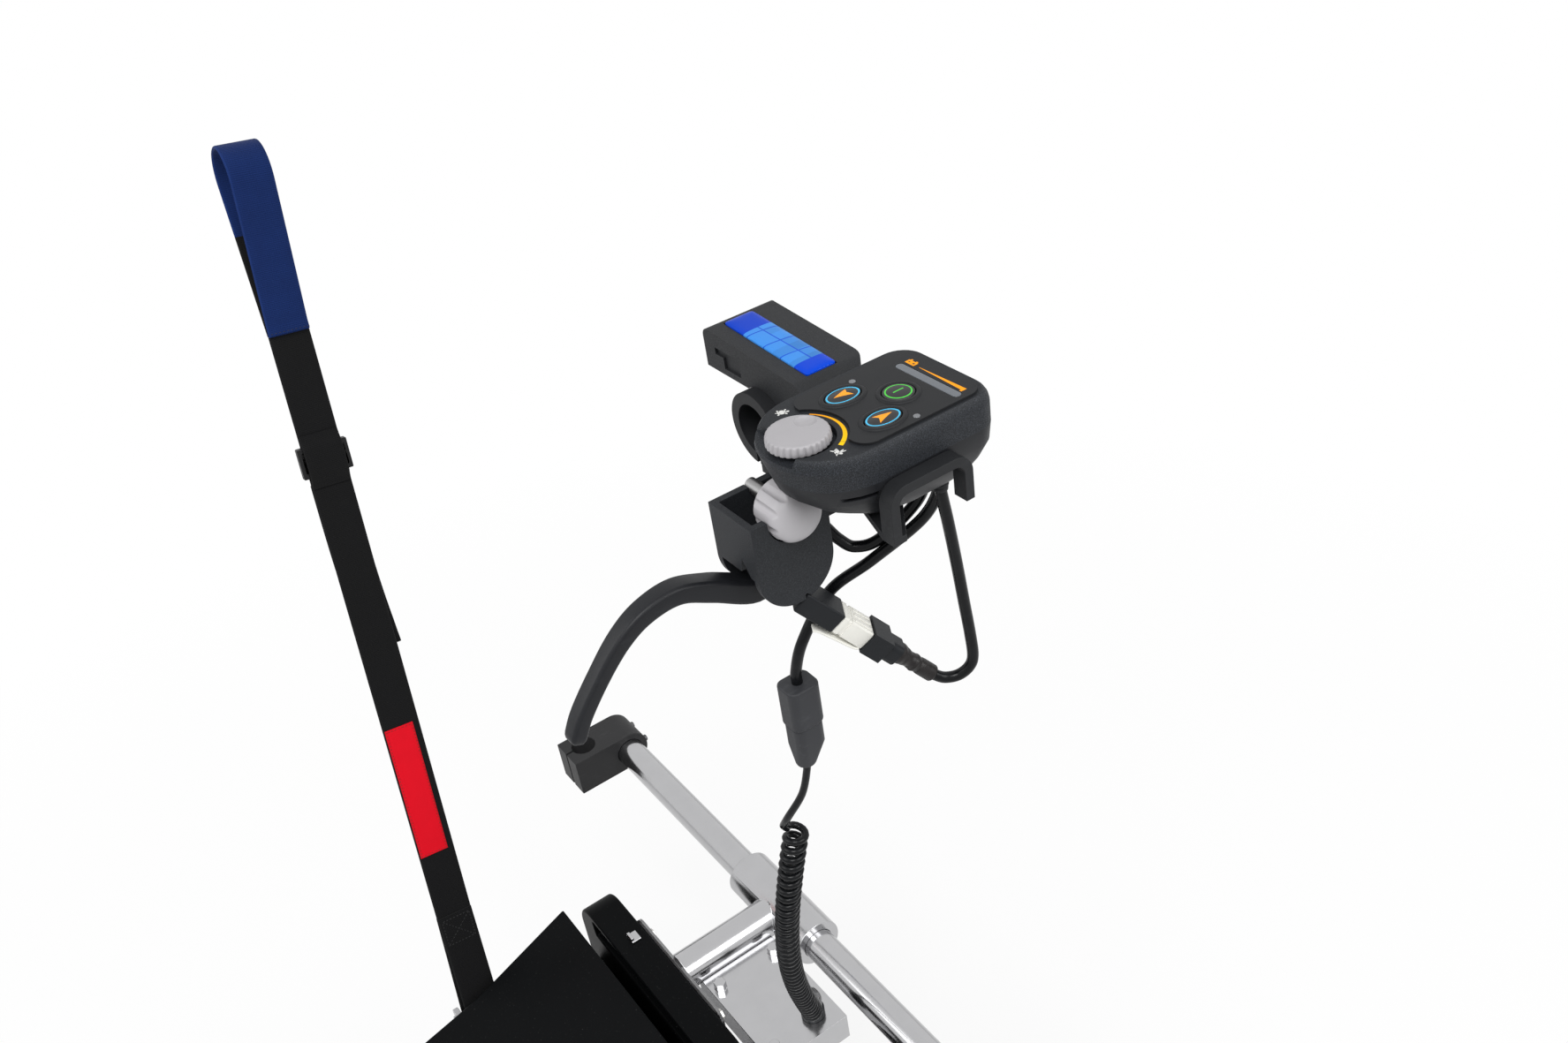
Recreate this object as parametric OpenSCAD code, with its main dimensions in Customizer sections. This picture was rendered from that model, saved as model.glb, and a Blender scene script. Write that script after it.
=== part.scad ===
// Attendant power assist for a manual wheelchair: a control unit clamped on the
// right push handle, a coiled lead, a twin-wheel drive with its battery, and a
// lifting strap looped over the left push handle.
// Millimetres. Origin: centre of the push handle tube at the clamp's rear mouth.
// +X to the chair's right, +Y the way the chair rolls, +Z up.

/* [Handle clamp] */
// Outside diameter of the push handle tube
tube_d = 22; // [19:0.5:25]
// Spacing of the two push handles
handle_spacing = 525; // [460:5:600]
// Outside diameter of the hand grips
grip_d = 34; // [30:0.5:38]
// Length of the clamp collar along the tube
collar_len = 42; // [36:1:50]
// Wall of the clamp collar
collar_wall = 5; // [4:0.5:6]
// Saw cut under the collar
collar_slit = 2; // [1.5:0.5:4]
// Depth of the pinch ears below the collar
ear_h = 11; // [10:0.5:16]
// Diameter of the pinch bolt
pinch_d = 5; // [4:0.5:6]

/* [Hood] */
// Width of the hood across the tube
hood_w = 71; // [66:1:72]
// Length of the hood along the tube
hood_len = 34; // [32:1:36]
// Height of the hood's roof over the tube axis
hood_top = 31; // [28:0.5:36]
// Fall of the hood's roof towards the head
hood_fall = 3.5; // [0:0.5:5]
// Height of the hood's lower edge over the tube axis
hood_base = 13; // [11:0.5:15]
// Radius of the hood's right shoulder
hood_shoulder_r = 8; // [6:0.5:10]
// Radius of the hood's left corner
hood_corner_r = 4; // [3:0.5:8]
// Length of the label
label_len = 58; // [48:1:58]
// Width of the label
label_w = 14.5; // [12:0.5:16]
// Depth of the label's recess
label_recess = 0.8; // [0.5:0.1:1.5]

/* [Control head] */
// Width of the head
head_w = 55; // [53:0.5:58]
// Length of the head
head_len = 86; // [84:1:91]
// Gap between the hood and the head
head_gap = 3; // [1:0.5:4]
// Height of the head's top over the tube axis
head_top = 30; // [28:0.5:33]
// Height of the joint between the two shells
shell_joint_z = 16.5; // [14:0.5:18]
// Height of the head's floor
head_floor_z = -8; // [-10:0.5:-6]
// Wall of the shells
shell_wall = 2.5; // [2:0.25:3]
// Width of the bevel round the top
top_bevel = 2; // [1.5:0.25:3]
// Thickness of the keypad panel
panel_t = 1; // [0.6:0.1:1.5]
// Height of the keys over the panel
key_rise = 1.2; // [0.6:0.1:1.8]
// Travel of a key
key_travel = 1; // [0.5:0.1:1.2]
// Gap round a key
key_gap = 0.35; // [0.25:0.05:0.6]
// Length of a direction key
key_len = 15; // [12:0.5:16]
// Width of a direction key
key_w = 10.5; // [8:0.5:12]
// Diameter of the power key
power_key_d = 12.5; // [9:0.5:13]
// Length of the battery gauge
gauge_len = 36; // [28:1:37]
// Width of the battery gauge
gauge_w = 4; // [3:0.25:5]
// Diameter of a lamp
lamp_d = 3; // [2:0.25:4]
// Diameter of the speed dial
dial_d = 24.5; // [20:0.5:26]
// Height of the dial over the head's top
dial_rise = 3.7; // [3:0.1:6]
// Number of flutes round the dial
dial_flutes = 30; // [24:2:40]
// Diameter of the dial's shaft
dial_shaft_d = 6; // [5:0.5:7]

/* [Lever] */
// Width of the lever housing
lever_box_w = 30; // [28:0.5:32]
// Depth of the lever housing along the tube
lever_box_len = 36; // [34:0.5:40]
// Height of the lever housing
lever_box_h = 43; // [41:0.5:48]
// Wall of the lever housing
lever_box_wall = 3; // [2.5:0.25:3.5]
// Width of the lever's blade
lever_w = 12; // [10:0.5:13]
// Thickness of the lever's blade
lever_t = 9; // [7:0.5:10]
// Diameter of the lever's pivot pin
lever_pin_d = 6; // [5:0.5:7]
// Diameter of the hand knob
knob_d = 23.5; // [22:0.5:25]
// Length of the hand knob's fluted part
knob_len = 14; // [12:0.5:15]
// Height of the hand knob's dome
knob_dome = 7; // [5:0.5:8]
// Number of flutes round the hand knob
knob_flutes = 10; // [8:1:14]
// Diameter of the knob's stud
stud_d = 6; // [5:0.5:8]

/* [Cables] */
// Diameter of the sheathed cables
cable_d = 5; // [4.5:0.1:5.5]
// Diameter of the coiled lead
coil_d = 3.6; // [3:0.1:3.8]
// Outside diameter of the coil
coil_od = 13; // [11:0.5:14]
// Distance between curls along the coil's axis
coil_pitch = 5.7; // [5.4:0.1:7]
// Width of the connector blocks
plug_w = 13; // [11:0.5:14]
// Height of the connector blocks
plug_h = 10; // [9:0.5:11]
// Length of the socket
socket_len = 20; // [18:0.5:21]
// Length of the latch block
latch_len = 16; // [14:0.5:18]
// Length of the plug
plug_len = 17; // [15:0.5:20]
// Width of the junction block
junction_w = 14; // [13:0.5:18]
// Depth of the junction block
junction_t = 16; // [15:0.5:20]
// Height of the junction block
junction_h = 46; // [42:1:50]

/* [Strap] */
// Width of the webbing
web_w = 28; // [20:0.5:28]
// Thickness of the webbing
web_t = 2.4; // [1.8:0.1:3]
// Length of the loop over the grip
loop_len = 105; // [90:5:130]
// Distance of the slider from the grip
slider_at = 195; // [160:5:240]
// Distance of the sewn patch over the lift pin
patch_over_pin = 146; // [120:2:200]
// Length of the sewn patch
patch_len = 110; // [60:5:120]
// Width of the sewn patch
patch_w = 22; // [14:0.5:24]
// Length of the folded end at the lift pin
fold_len = 90; // [70:5:110]

/* [Drive] */
// Height of the tube axis over the floor
handle_height = 955; // [900:5:1000]
// Diameter of the drive wheels
wheel_d = 190; // [180:2:196]
// Width of a tyre
tyre_w = 42; // [36:1:46]
// Diameter of a rim
rim_d = 124; // [110:2:134]
// Diameter of the drive axle
axle_d = 15; // [12:0.5:17]
// Diameter of the cross bar
bar_d = 25; // [22:0.5:28]
// Diameter of the swing arm
arm_d = 30; // [28:1:34]
// Height of the cross bar over the floor
bar_height = 353; // [340:1:356]
// Height of the lead's plug over the cross bar
plug_rise = 14; // [12:0.5:18]
// Distance of the cross bar in front of the clamp's mouth
bar_y = 106; // [100:1:125]
// Distance of the drive axle behind the clamp's mouth
axle_back = 60; // [50:1:70]
// Teeth of the axle gear
gear_teeth = 64; // [64:4:64]
// Teeth of the motor pinion
pinion_teeth = 16; // [16:1:16]
// Tooth module of the gears
gear_module = 1.5; // [1.4:0.05:1.5]
// Width of the gears
gear_w = 10; // [8:0.5:11]

/* [Battery] */
// Width of the battery case
batt_w = 196; // [180:2:200]
// Wall of the battery case
batt_wall = 3; // [2.5:0.5:4]
// Depth of the battery case
batt_depth = 181.4; // [174:0.2:186]
// Height of the case's front edge over the floor
batt_top = 377; // [365:1:385]
// Height of the case's seam over the floor
seam_height = 305; // [295:1:312]
// Height of the battery's tray over the floor
tray_height = 208; // [206:1:212]
// Thickness of the tray
tray_t = 5; // [4:0.5:6]
// Width of the dock
dock_w = 220; // [206:2:230]
// Thickness of the dock
dock_t = 27; // [24:1:30]
// Height of the dock's crest over the floor
dock_height = 367; // [358:1:370]
// Distance of the dock's front face in front of the clamp's mouth
dock_front = 5; // [3:0.5:8]
// Radius of the dock's upper corners
dock_r = 26; // [16:1:34]

/* [Hidden] */
$fn = 64;

// clearances
run_gap = 0.05;      // a shaft running in its bore, on the radius
seat_gap = 0.1;      // a piece seated in its pocket
part_gap = 0.3;      // two moving pieces side by side
eps = 0.05;          // overrun of a cut

charcoal = [0.16, 0.16, 0.17];
black = [0.06, 0.06, 0.065];
grey = [0.66, 0.65, 0.66];
chrome = [0.80, 0.81, 0.82];

// clamp
tube_r = tube_d / 2;
collar_r = tube_r + collar_wall;
ear_w = 18;
ear_z = -collar_r - ear_h;
pinch_z = -collar_r - ear_h / 2 - 0.5;
pinch_y = collar_len / 2;
hood_x0 = -40;
hood_x1 = hood_x0 + hood_w;
hood_y0 = 6;
hood_plan_r = 12;
hood_left = [hood_x0 + hood_corner_r, hood_top - hood_corner_r];
hood_right = [hood_x1 - hood_shoulder_r, hood_top - hood_fall - hood_shoulder_r];
hood_run = hood_right - hood_left;
hood_lean = atan2(hood_run[1], hood_run[0]) + acos((hood_corner_r - hood_shoulder_r) / norm(hood_run));
roof_normal = [cos(hood_lean), sin(hood_lean)];
label_at = hood_left + hood_corner_r * roof_normal + (label_len / 2 + 1) * [roof_normal[1], -roof_normal[0]];
label_y = hood_y0 + 15;

// control head
head_x0 = hood_x1 + head_gap;
head_x1 = head_x0 + head_w;
head_y0 = -32;
head_y1 = head_y0 + head_len;
head_cx = head_x0 + head_w / 2;
head_front_r = 10;
head_rear_r = 26;
head_waist_z = head_top - 5;
dial_x = head_cx + 0.5;
dial_y = head_y0 + 13.7;
dial_r = dial_d / 2;
dial_well_r = dial_r + 1.7;
panel_z = head_top + panel_t;
dial_step = 3.4;
gauge_x = head_cx + 4.1;
gauge_y = head_y1 - 14.9;
power_x = head_cx + 3.6;
power_y = head_y1 - 28.5;
reverse_x = head_cx - 9.8;
forward_x = head_cx + 14;
arrow_y = head_y1 - 44.1;
lamp_xs = [head_cx - 16.3, head_cx + 21.4];
lamp_y = head_y1 - 34.7;
board_t = 1.6;
board_z = shell_joint_z + 1;
key_foot_z = board_z + board_t + key_travel + 0.4;
floor_x0 = head_x0 + 14;
floor_x1 = head_x1 - 12;
floor_y0 = 6;
floor_y1 = head_y1 - 8;

// lever housing, a channel that hangs behind the collar under the grip
lever_box_x0 = 14;
lever_box_x1 = lever_box_x0 + lever_box_w;
lever_box_y1 = 2;
lever_box_y0 = lever_box_y1 - lever_box_len;
lever_box_z1 = -12;
lever_box_z0 = lever_box_z1 - lever_box_h;
lever_round_r = lever_box_len / 2;
lever_round_y = (lever_box_y0 + lever_box_y1) / 2;
lever_round_z = lever_box_z0 + lever_round_r;
lever_cheek = 3.5;
lever_in_x0 = lever_box_x0 + lever_cheek;
lever_in_x1 = lever_box_x1 - lever_cheek;
lever_pin_r = lever_pin_d / 2;
lever_pin_y = lever_round_y + 2;
lever_pin_z = lever_box_z0 + 9;
lever_boss_r = 7.5;
lever_boss_w = 15;
lever_x = lever_in_x0 + 0.3 + lever_boss_w / 2;
lever_throat_z = lever_pin_z + lever_boss_r + 1.5;
knob_r = knob_d / 2;
knob_y = lever_round_y + 2;
knob_z = lever_box_z1 - 1;
knob_x0 = lever_in_x1 + 5 - knob_len;

// centreline of the lever behind the pin: distance back from it, height over it
lever_route = [[0, 0], [13, -5.5], [32, 4], [47, 10], [62, 8], [74, 1], [86, -11],
  [96, -23], [100.5, -31]];

// connector line from the lever housing to the looped cable
plug_from = [37, -13, -56.5];
plug_to = [62, 31.5, -110];
plug_dir = (plug_to - plug_from) / norm(plug_to - plug_from);
sleeve_len = norm(plug_to - plug_from) - socket_len - latch_len - plug_len;

// heights that the lead and the strap hang down to
mid_x = -handle_spacing / 2;
floor_z = -handle_height;
bar_r = bar_d / 2;
bar_z = floor_z + bar_height;

// cable routes, point by point
floor_tail = head_floor_z - 1.2 * cable_d;
loop_route = [plug_to, plug_to + 3 * plug_dir, [66.5, 38.5, -111], [69, 42, -104], [70, 43, -92],
  [70, 43, -74], [70.5, 41.5, -52], [71.5, 38.5, -30], [72, 36, floor_tail], [72, 36, head_floor_z]];
lever_cable_route = [[30, lever_box_y1, -36], [30, lever_box_y1 + cable_d, -36], [33, 12, -44],
  [37, 17, -48.5], [44, 25, -45], [53, 38.5, -29], [58, 41, floor_tail], [58, 41, head_floor_z]];
junction_x = 26;
junction_y = -14;
junction_z1 = -110;
junction_z0 = junction_z1 - junction_h;
junction_split_z = junction_z1 - 22;
main_route = [[junction_x, junction_y, junction_z1], [junction_x, junction_y, junction_z1 + cable_d],
  [29, -10, -88], [33, 4, -67], [44, 20, -53], [58, 37, -34], [66, 41, floor_tail - 2],
  [66, 41, head_floor_z]];

// coil: the axis is one cubic curve, the lead comes down to its left side; the route is drawn
// for a plug 194 aside of the junction and 432 under it, and is stretched to where the plug is
plug_x = mid_x + 94.5;
plug_y = bar_y - 40;
plug_top = bar_z + plug_rise;
function aside(d) = junction_x - d * (junction_x - plug_x) / 194;
function down(d) = junction_z0 - d * (junction_z0 - plug_top) / 432;
coil_axis = [[aside(16), -18, down(54)], [aside(17), -40, down(126)], [aside(50), -20, down(196)],
  [aside(74), 3, down(269)]];
coil_r = (coil_od - coil_d) / 2;
coil_start = 127;
lead_route = [[junction_x, junction_y - 2, junction_z0],
  [junction_x, junction_y - 2, junction_z0 - coil_d], [aside(3), -19, down(20)],
  [aside(10), -25, down(37)], [aside(16), -25, down(47)]];
tail_route = [[aside(86), 11, down(290)], [aside(118), plug_y - 35, down(336)],
  [aside(164), plug_y - 9, down(392)], [aside(189), plug_y, down(417)],
  [plug_x, plug_y, plug_top + coil_d + 1], [plug_x, plug_y, plug_top]];

// drive unit
wheel_r = wheel_d / 2;
axle_r = axle_d / 2;
axle_y = -axle_back;
axle_z = floor_z + wheel_r;
gear_dist = gear_module * (gear_teeth + pinion_teeth) / 2;
motor_z = axle_z + gear_dist;
tray_z = floor_z + tray_height;
dock_y1 = dock_front;
dock_y0 = dock_y1 - dock_t;
dock_top = floor_z + dock_height;
batt_y1 = dock_y0 - 0.6;
batt_lip_y = batt_y1 - 15.4;
batt_y0 = batt_y1 - batt_depth;
batt_z0 = tray_z + part_gap;
batt_z1 = floor_z + batt_top;
batt_seam_z = floor_z + seam_height;
arm_r = arm_d / 2;
plate_t = 4;
plate_half = dock_w / 2 - 48;
side_t = 5;
side_x = 31;
gearbox_w = gear_w + 8;
gearbox_x0 = mid_x - side_x + 1;
gear_x0 = gearbox_x0 + 4;
motor_x0 = gearbox_x0 + gearbox_w;
motor_r = 38;
wheel_x = side_x + side_t + 6;
axle_end = wheel_x + tyre_w + 8;
block_top = plug_top - 18;
block_y0 = dock_y1 + 13;
block_y1 = bar_y - 22;

// strap, drawn hanging along -Z from the grip's axis and then swung to the lift pin
strap_from = [-handle_spacing, -47, 0];
lift_pin_r = 4;
lift_y = -122;
lift_x = mid_x - batt_w / 2 - 13.5;
lift_z = tray_z + 107;
strap_run = [lift_x, lift_y, lift_z] - strap_from;
strap_len = norm(strap_run);
strap_tilt_x = asin(strap_run[1] / strap_len);
strap_tilt_y = -atan2(strap_run[0], -strap_run[2]);
loop_r = grip_d / 2 + 2.5;
fold_r = lift_pin_r + 2.5;

// shared shapes

function unit(v) = v / norm(v);
function slope(p, i) = unit(p[min(i + 1, len(p) - 1)] - p[max(i - 1, 0)]);
function across(t) = unit(cross(t, abs(t[0]) < 0.7 ? [1, 0, 0] : [0, 1, 0]));
// frames along a path that never twist: [tangent, normal] at each point
function frames(p, i = 0, u = undef, done = []) =
  i == len(p) ? done :
  let (t = slope(p, i), v = is_undef(u) ? across(t) : unit(u - (u * t) * t))
  frames(p, i + 1, v, concat(done, [[t, v]]));
// Catmull-Rom curve through the points of a route
function spline_at(p, i, f) =
  let (n = len(p) - 1, a = p[max(i - 1, 0)], b = p[i], c = p[min(i + 1, n)], d = p[min(i + 2, n)])
  0.5 * (2 * b + f * (c - a) + f * f * (2 * a - 5 * b + 4 * c - d)
    + f * f * f * (3 * b - a - 3 * c + d));
function spline(p, steps) =
  concat([for (i = [0 : len(p) - 2], k = [0 : steps - 1]) spline_at(p, i, k / steps)],
    [p[len(p) - 1]]);
// the same curve with straight first and last legs, so that the ends are cut square
function run_out(p, steps) =
  concat([for (i = [0 : len(p) - 3], k = [0 : steps - 1]) spline_at(p, i, k / steps)],
    [p[len(p) - 2], p[len(p) - 1]]);
function run_in(p, steps) =
  concat([p[0]], [for (i = [1 : len(p) - 2], k = [0 : steps - 1]) spline_at(p, i, k / steps)],
    [p[len(p) - 1]]);
function run(p, steps) =
  concat([p[0]], [for (i = [1 : len(p) - 3], k = [0 : steps - 1]) spline_at(p, i, k / steps)],
    [p[len(p) - 2], p[len(p) - 1]]);
function bezier(b, s) = pow(1 - s, 3) * b[0] + 3 * s * pow(1 - s, 2) * b[1]
  + 3 * s * s * (1 - s) * b[2] + s * s * s * b[3];
function bezier_slope(b, s) = unit(pow(1 - s, 2) * (b[1] - b[0])
  + 2 * s * (1 - s) * (b[2] - b[1]) + s * s * (b[3] - b[2]));

// round tube swept along a path
module tube_along(path, r, sides) {
  f = frames(path);
  rings = [for (i = [0 : len(path) - 1], j = [0 : sides - 1])
    let (t = f[i][0], v = f[i][1], a = 360 * j / sides)
    path[i] + r * (cos(a) * v + sin(a) * cross(t, v))];
  last = (len(path) - 1) * sides;
  walls = [for (i = [0 : len(path) - 2], j = [0 : sides - 1])
    let (a = i * sides + j, b = i * sides + (j + 1) % sides)
    each [[a, a + sides, b + sides], [a, b + sides, b]]];
  caps = [for (j = [1 : sides - 2])
    each [[0, j, j + 1], [last, last + j + 1, last + j]]];
  polyhedron(concat(rings), concat(walls, caps));
}

// a profile drawn in (Y, Z) and run along +X
module along_x(x0, length) {
  translate([x0, 0, 0]) rotate([90, 0, 90]) linear_extrude(length) children();
}
// a profile drawn in (X, Z) and run along +Y
module along_y(y0, length) {
  translate([0, y0 + length, 0]) rotate([90, 0, 0]) linear_extrude(length) children();
}
module rod_x(x0, length, r) {
  translate([x0, 0, 0]) rotate([0, 90, 0]) cylinder(h = length, r = r);
}
module rod_y(y0, length, r) {
  translate([0, y0, 0]) rotate([-90, 0, 0]) cylinder(h = length, r = r);
}
// rectangle from corner to corner
module span(x0, y0, x1, y1) {
  translate([x0, y0]) square([x1 - x0, y1 - y0]);
}
module box(a, b) {
  translate(a) cube(b - a);
}
// rounded rectangle from corner to corner
module rounded_span(x0, y0, x1, y1, r) {
  span(x0 + r, y0, x1 - r, y1);
  span(x0, y0 + r, x1, y1 - r);
  for (x = [x0 + r, x1 - r], y = [y0 + r, y1 - r]) translate([x, y]) circle(r);
}
// ellipse along Y, centred
module ellipse(w, length) {
  polygon([for (a = [0 : 9 : 351]) [w / 2 * cos(a), length / 2 * sin(a)]]);
}
// slot with round ends along Y, centred
module oval(w, length) {
  square([w, length - w], center = true);
  for (s = [-1, 1]) translate([0, s * (length - w) / 2]) circle(w / 2);
}

// clamp

module clamp_collar() color(charcoal) difference() {
  union() {
    rod_y(0, collar_len, collar_r);
    box([-ear_w / 2, 6, ear_z], [ear_w / 2, collar_len - 6, -tube_r]);
  }
  rod_y(-eps, collar_len + 2 * eps, tube_r);
  box([-collar_slit / 2, -eps, ear_z - eps], [collar_slit / 2, collar_len + eps, 0]);
  translate([0, pinch_y, pinch_z]) rod_x(-ear_w / 2 - eps, ear_w + 2 * eps, pinch_d / 2 + run_gap);
}

module pinch_bolt() color(chrome) translate([0, pinch_y, pinch_z]) {
  rod_x(-ear_w / 2, ear_w, pinch_d / 2);
  rod_x(ear_w / 2, 4, pinch_d * 0.85);
  rod_x(-ear_w / 2 - 3, 3, pinch_d * 0.85, $fn = 6);
}

module hood_profile() {
  polygon([[hood_x0, hood_base], [hood_x1, hood_base], [hood_x1, hood_right[1]],
    hood_right + hood_shoulder_r * roof_normal, hood_left + hood_corner_r * roof_normal,
    [hood_x0, hood_left[1]]]);
  translate(hood_left) circle(hood_corner_r);
  translate(hood_right) circle(hood_shoulder_r);
}

// the roof's middle under the label, lying in the slope
module on_roof() {
  translate([label_at[0], label_y, label_at[1]]) rotate([0, 90 - hood_lean, 0]) children();
}

module clamp_hood() color(black) difference() {
  intersection() {
    along_y(hood_y0, hood_len) hood_profile();
    translate([0, 0, hood_base - 1]) linear_extrude(hood_top) {
      span(hood_x0, hood_y0, hood_x1, hood_y0 + hood_len - hood_plan_r);
      span(hood_x0, hood_y0, hood_x1 - hood_plan_r, hood_y0 + hood_len);
      translate([hood_x1 - hood_plan_r, hood_y0 + hood_len - hood_plan_r]) circle(hood_plan_r);
    }
  }
  rod_y(hood_y0 - eps, hood_len + 2 * eps, collar_r + seat_gap);
  on_roof() translate([0, 0, -label_recess]) linear_extrude(5)
    square([label_len + 0.4, label_w + 0.4], center = true);
  // T-shaped catch moulded in the rear wall
  along_y(hood_y0 - eps, 1.2) {
    span(-32, 21, -14, 24);
    span(-26, 16, -14, 21 + eps);
  }
}

module label_plate() color([0.05, 0.25, 0.80])
  on_roof() translate([0, 0, -label_recess]) linear_extrude(label_recess + 0.6)
    rounded_span(-label_len / 2, -label_w / 2, label_len / 2, label_w / 2, 1);

// arm from the collar, under the head's floor and down to the lever housing
module bracket_arm() color(charcoal) difference() {
  union() {
    box([10, 12, head_floor_z - 8], [floor_x0 + 14, 36, head_floor_z]);
    box([lever_box_x0 + 2, lever_box_y1, head_floor_z - 16], [lever_box_x1 - 2, 12, head_floor_z - 2]);
    box([10, lever_box_y1 + 4, head_floor_z - 8], [lever_box_x1 - 2, 12 + eps, head_floor_z - 2]);
  }
  rod_y(-eps, collar_len + 2 * eps, collar_r + seat_gap);
  box([0, -eps, ear_z], [ear_w / 2 + 5, collar_len, -tube_r - 1]);
}

// control head

// plan outline of the head: broad round rear end, tighter front corners
module head_outline(x0, x1, y0, y1, r_rear, r_front) {
  hull() {
    for (x = [x0 + r_rear, x1 - r_rear]) translate([x, y0 + r_rear]) circle(r_rear, $fn = 32);
    for (x = [x0 + r_front, x1 - r_front]) translate([x, y1 - r_front]) circle(r_front, $fn = 32);
  }
}
module head_layer(z, x0, x1, y0, y1, inset = 0) {
  translate([0, 0, z]) linear_extrude(0.01)
    head_outline(x0 + inset, x1 - inset, y0 + inset, y1 - inset,
      min(head_rear_r, (x1 - x0) / 2 - 1) - inset, head_front_r - inset);
}
module head_upper_body(inset = 0) hull() {
  head_layer(shell_joint_z - (inset > 0 ? 1 : 0), head_x0, head_x1, head_y0 + 3.5, head_y1, inset);
  head_layer(head_waist_z - inset, head_x0, head_x1, head_y0 + 0.5, head_y1, inset);
  // rounded rim of the top
  for (b = [[1.25, 0.2], [0.4, 0.6], [0.005, 1]]) head_layer(head_top - inset - b[0] * top_bevel,
    head_x0 + b[1] * top_bevel, head_x1 - b[1] * top_bevel, head_y0 + b[1] * top_bevel + 0.5,
    head_y1 - b[1] * top_bevel, inset);
}
module head_lower_body(inset = 0) hull() {
  head_layer(shell_joint_z - 0.01 + (inset > 0 ? 1 : 0), head_x0, head_x1, head_y0 + 3.5, head_y1, inset);
  head_layer(head_floor_z + 17, head_x0 + 0.8, head_x1 - 0.8, head_y0 + 6, head_y1 - 0.5, inset);
  head_layer(head_floor_z + 10 + inset / 2, head_x0 + 5, head_x1 - 4, head_y0 + 14, head_y1 - 2.5, inset);
  head_layer(head_floor_z + 4 + inset, head_x0 + 11, head_x1 - 8, head_y0 + 25, head_y1 - 4.5, inset);
  head_layer(head_floor_z + inset, floor_x0, floor_x1, floor_y0, floor_y1, inset);
}
module key_holes(gap, depth) {
  translate([power_x, power_y, panel_z - depth]) cylinder(h = depth + 5, r = power_key_d / 2 + gap);
  for (x = [reverse_x, forward_x]) translate([x, arrow_y, panel_z - depth])
    linear_extrude(depth + 5) ellipse(key_w + 2 * gap, key_len + 2 * gap);
}

// the dial sits over a step: the deck is cut down behind it
module head_upper_shell() color(black) difference() {
  union() {
    difference() {
      head_upper_body();
      head_upper_body(shell_wall);
    }
    intersection() {
      head_upper_body();
      box([head_x0 - 1, head_y0 - 1, head_top - dial_step - 2.7],
        [head_x1 + 1, dial_y + dial_well_r + 2, head_top - 1.4]);
    }
  }
  translate([dial_x, dial_y, head_top - dial_step]) cylinder(h = 10, r = dial_well_r);
  box([head_x0 - 1, head_y0 - 1, head_top - dial_step], [dial_x + 10.8, dial_y - 4, head_top + 1]);
  translate([dial_x, dial_y, head_top - 10]) cylinder(h = 10, r = 4.5 + 2 * seat_gap);
  key_holes(key_gap, 10);
}

module head_lower_shell() color(charcoal) {
  difference() {
    head_lower_body();
    head_lower_body(shell_wall);
    // vent in the rear right corner
    box([head_cx + 21.3, head_y0 + 12, shell_joint_z - 5.2],
      [head_x1 + 1, head_y0 + 27.7, shell_joint_z - 3.6]);
  }
  // posts for the circuit board and the dial's potentiometer
  intersection() {
    union() {
      for (x = [head_cx - 11, head_cx + 10], y = [13, floor_y1 - 8.5])
        translate([x, y, head_floor_z]) cylinder(h = board_z - head_floor_z, r = 2.5);
      translate([dial_x, dial_y + 9.1, head_floor_z]) cylinder(h = shell_joint_z - head_floor_z, r = 5);
    }
    union() {
      head_lower_body();
      box([head_x0 + 4, head_y0 + 12, shell_joint_z - eps], [head_x1 - 4, head_y1 - 4, board_z]);
    }
  }
}

module gauge_outline(gap) {
  rounded_span(gauge_x - gauge_len / 2 + gap, gauge_y - gauge_w / 2 + gap,
    gauge_x + gauge_len / 2 - gap, gauge_y + gauge_w / 2 - gap, gauge_w / 2 - gap - 0.1);
}
module keypad_panel() color([0.08, 0.08, 0.085]) difference() {
  translate([0, 0, head_top]) linear_extrude(panel_t) difference() {
    rounded_span(head_x0 + 5.2, dial_y + 11.3, head_x1 - 3.2, head_y1 - 4.5, 7);
    translate([dial_x, dial_y]) circle(dial_well_r + 4.7);
    gauge_outline(0);
    for (x = lamp_xs) translate([x, lamp_y]) circle(lamp_d / 2);
  }
  key_holes(key_gap, 10);
}

module gauge_window() color([0.45, 0.47, 0.5])
  translate([0, 0, head_top]) linear_extrude(panel_t) gauge_outline(seat_gap);

module indicator_lamps() color([0.5, 0.52, 0.55])
  for (x = lamp_xs) translate([x, lamp_y, head_top]) cylinder(h = panel_t + 0.2, r = lamp_d / 2 - seat_gap);

// key with a crowned top, its foot over the board's switch
module key_cap(w, length) {
  translate([0, 0, key_foot_z]) linear_extrude(panel_z + key_rise * 0.5 - key_foot_z) ellipse(w, length);
  translate([0, 0, panel_z + key_rise * 0.5 - eps]) linear_extrude(key_rise * 0.5 + eps)
    ellipse(w - 1.6, length - 1.6);
}
module power_button() color(black) translate([power_x, power_y, 0]) key_cap(power_key_d, power_key_d);
module reverse_button() color(black) translate([reverse_x, arrow_y, 0]) key_cap(key_w, key_len);
module forward_button() color(black) translate([forward_x, arrow_y, 0]) key_cap(key_w, key_len);

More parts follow.
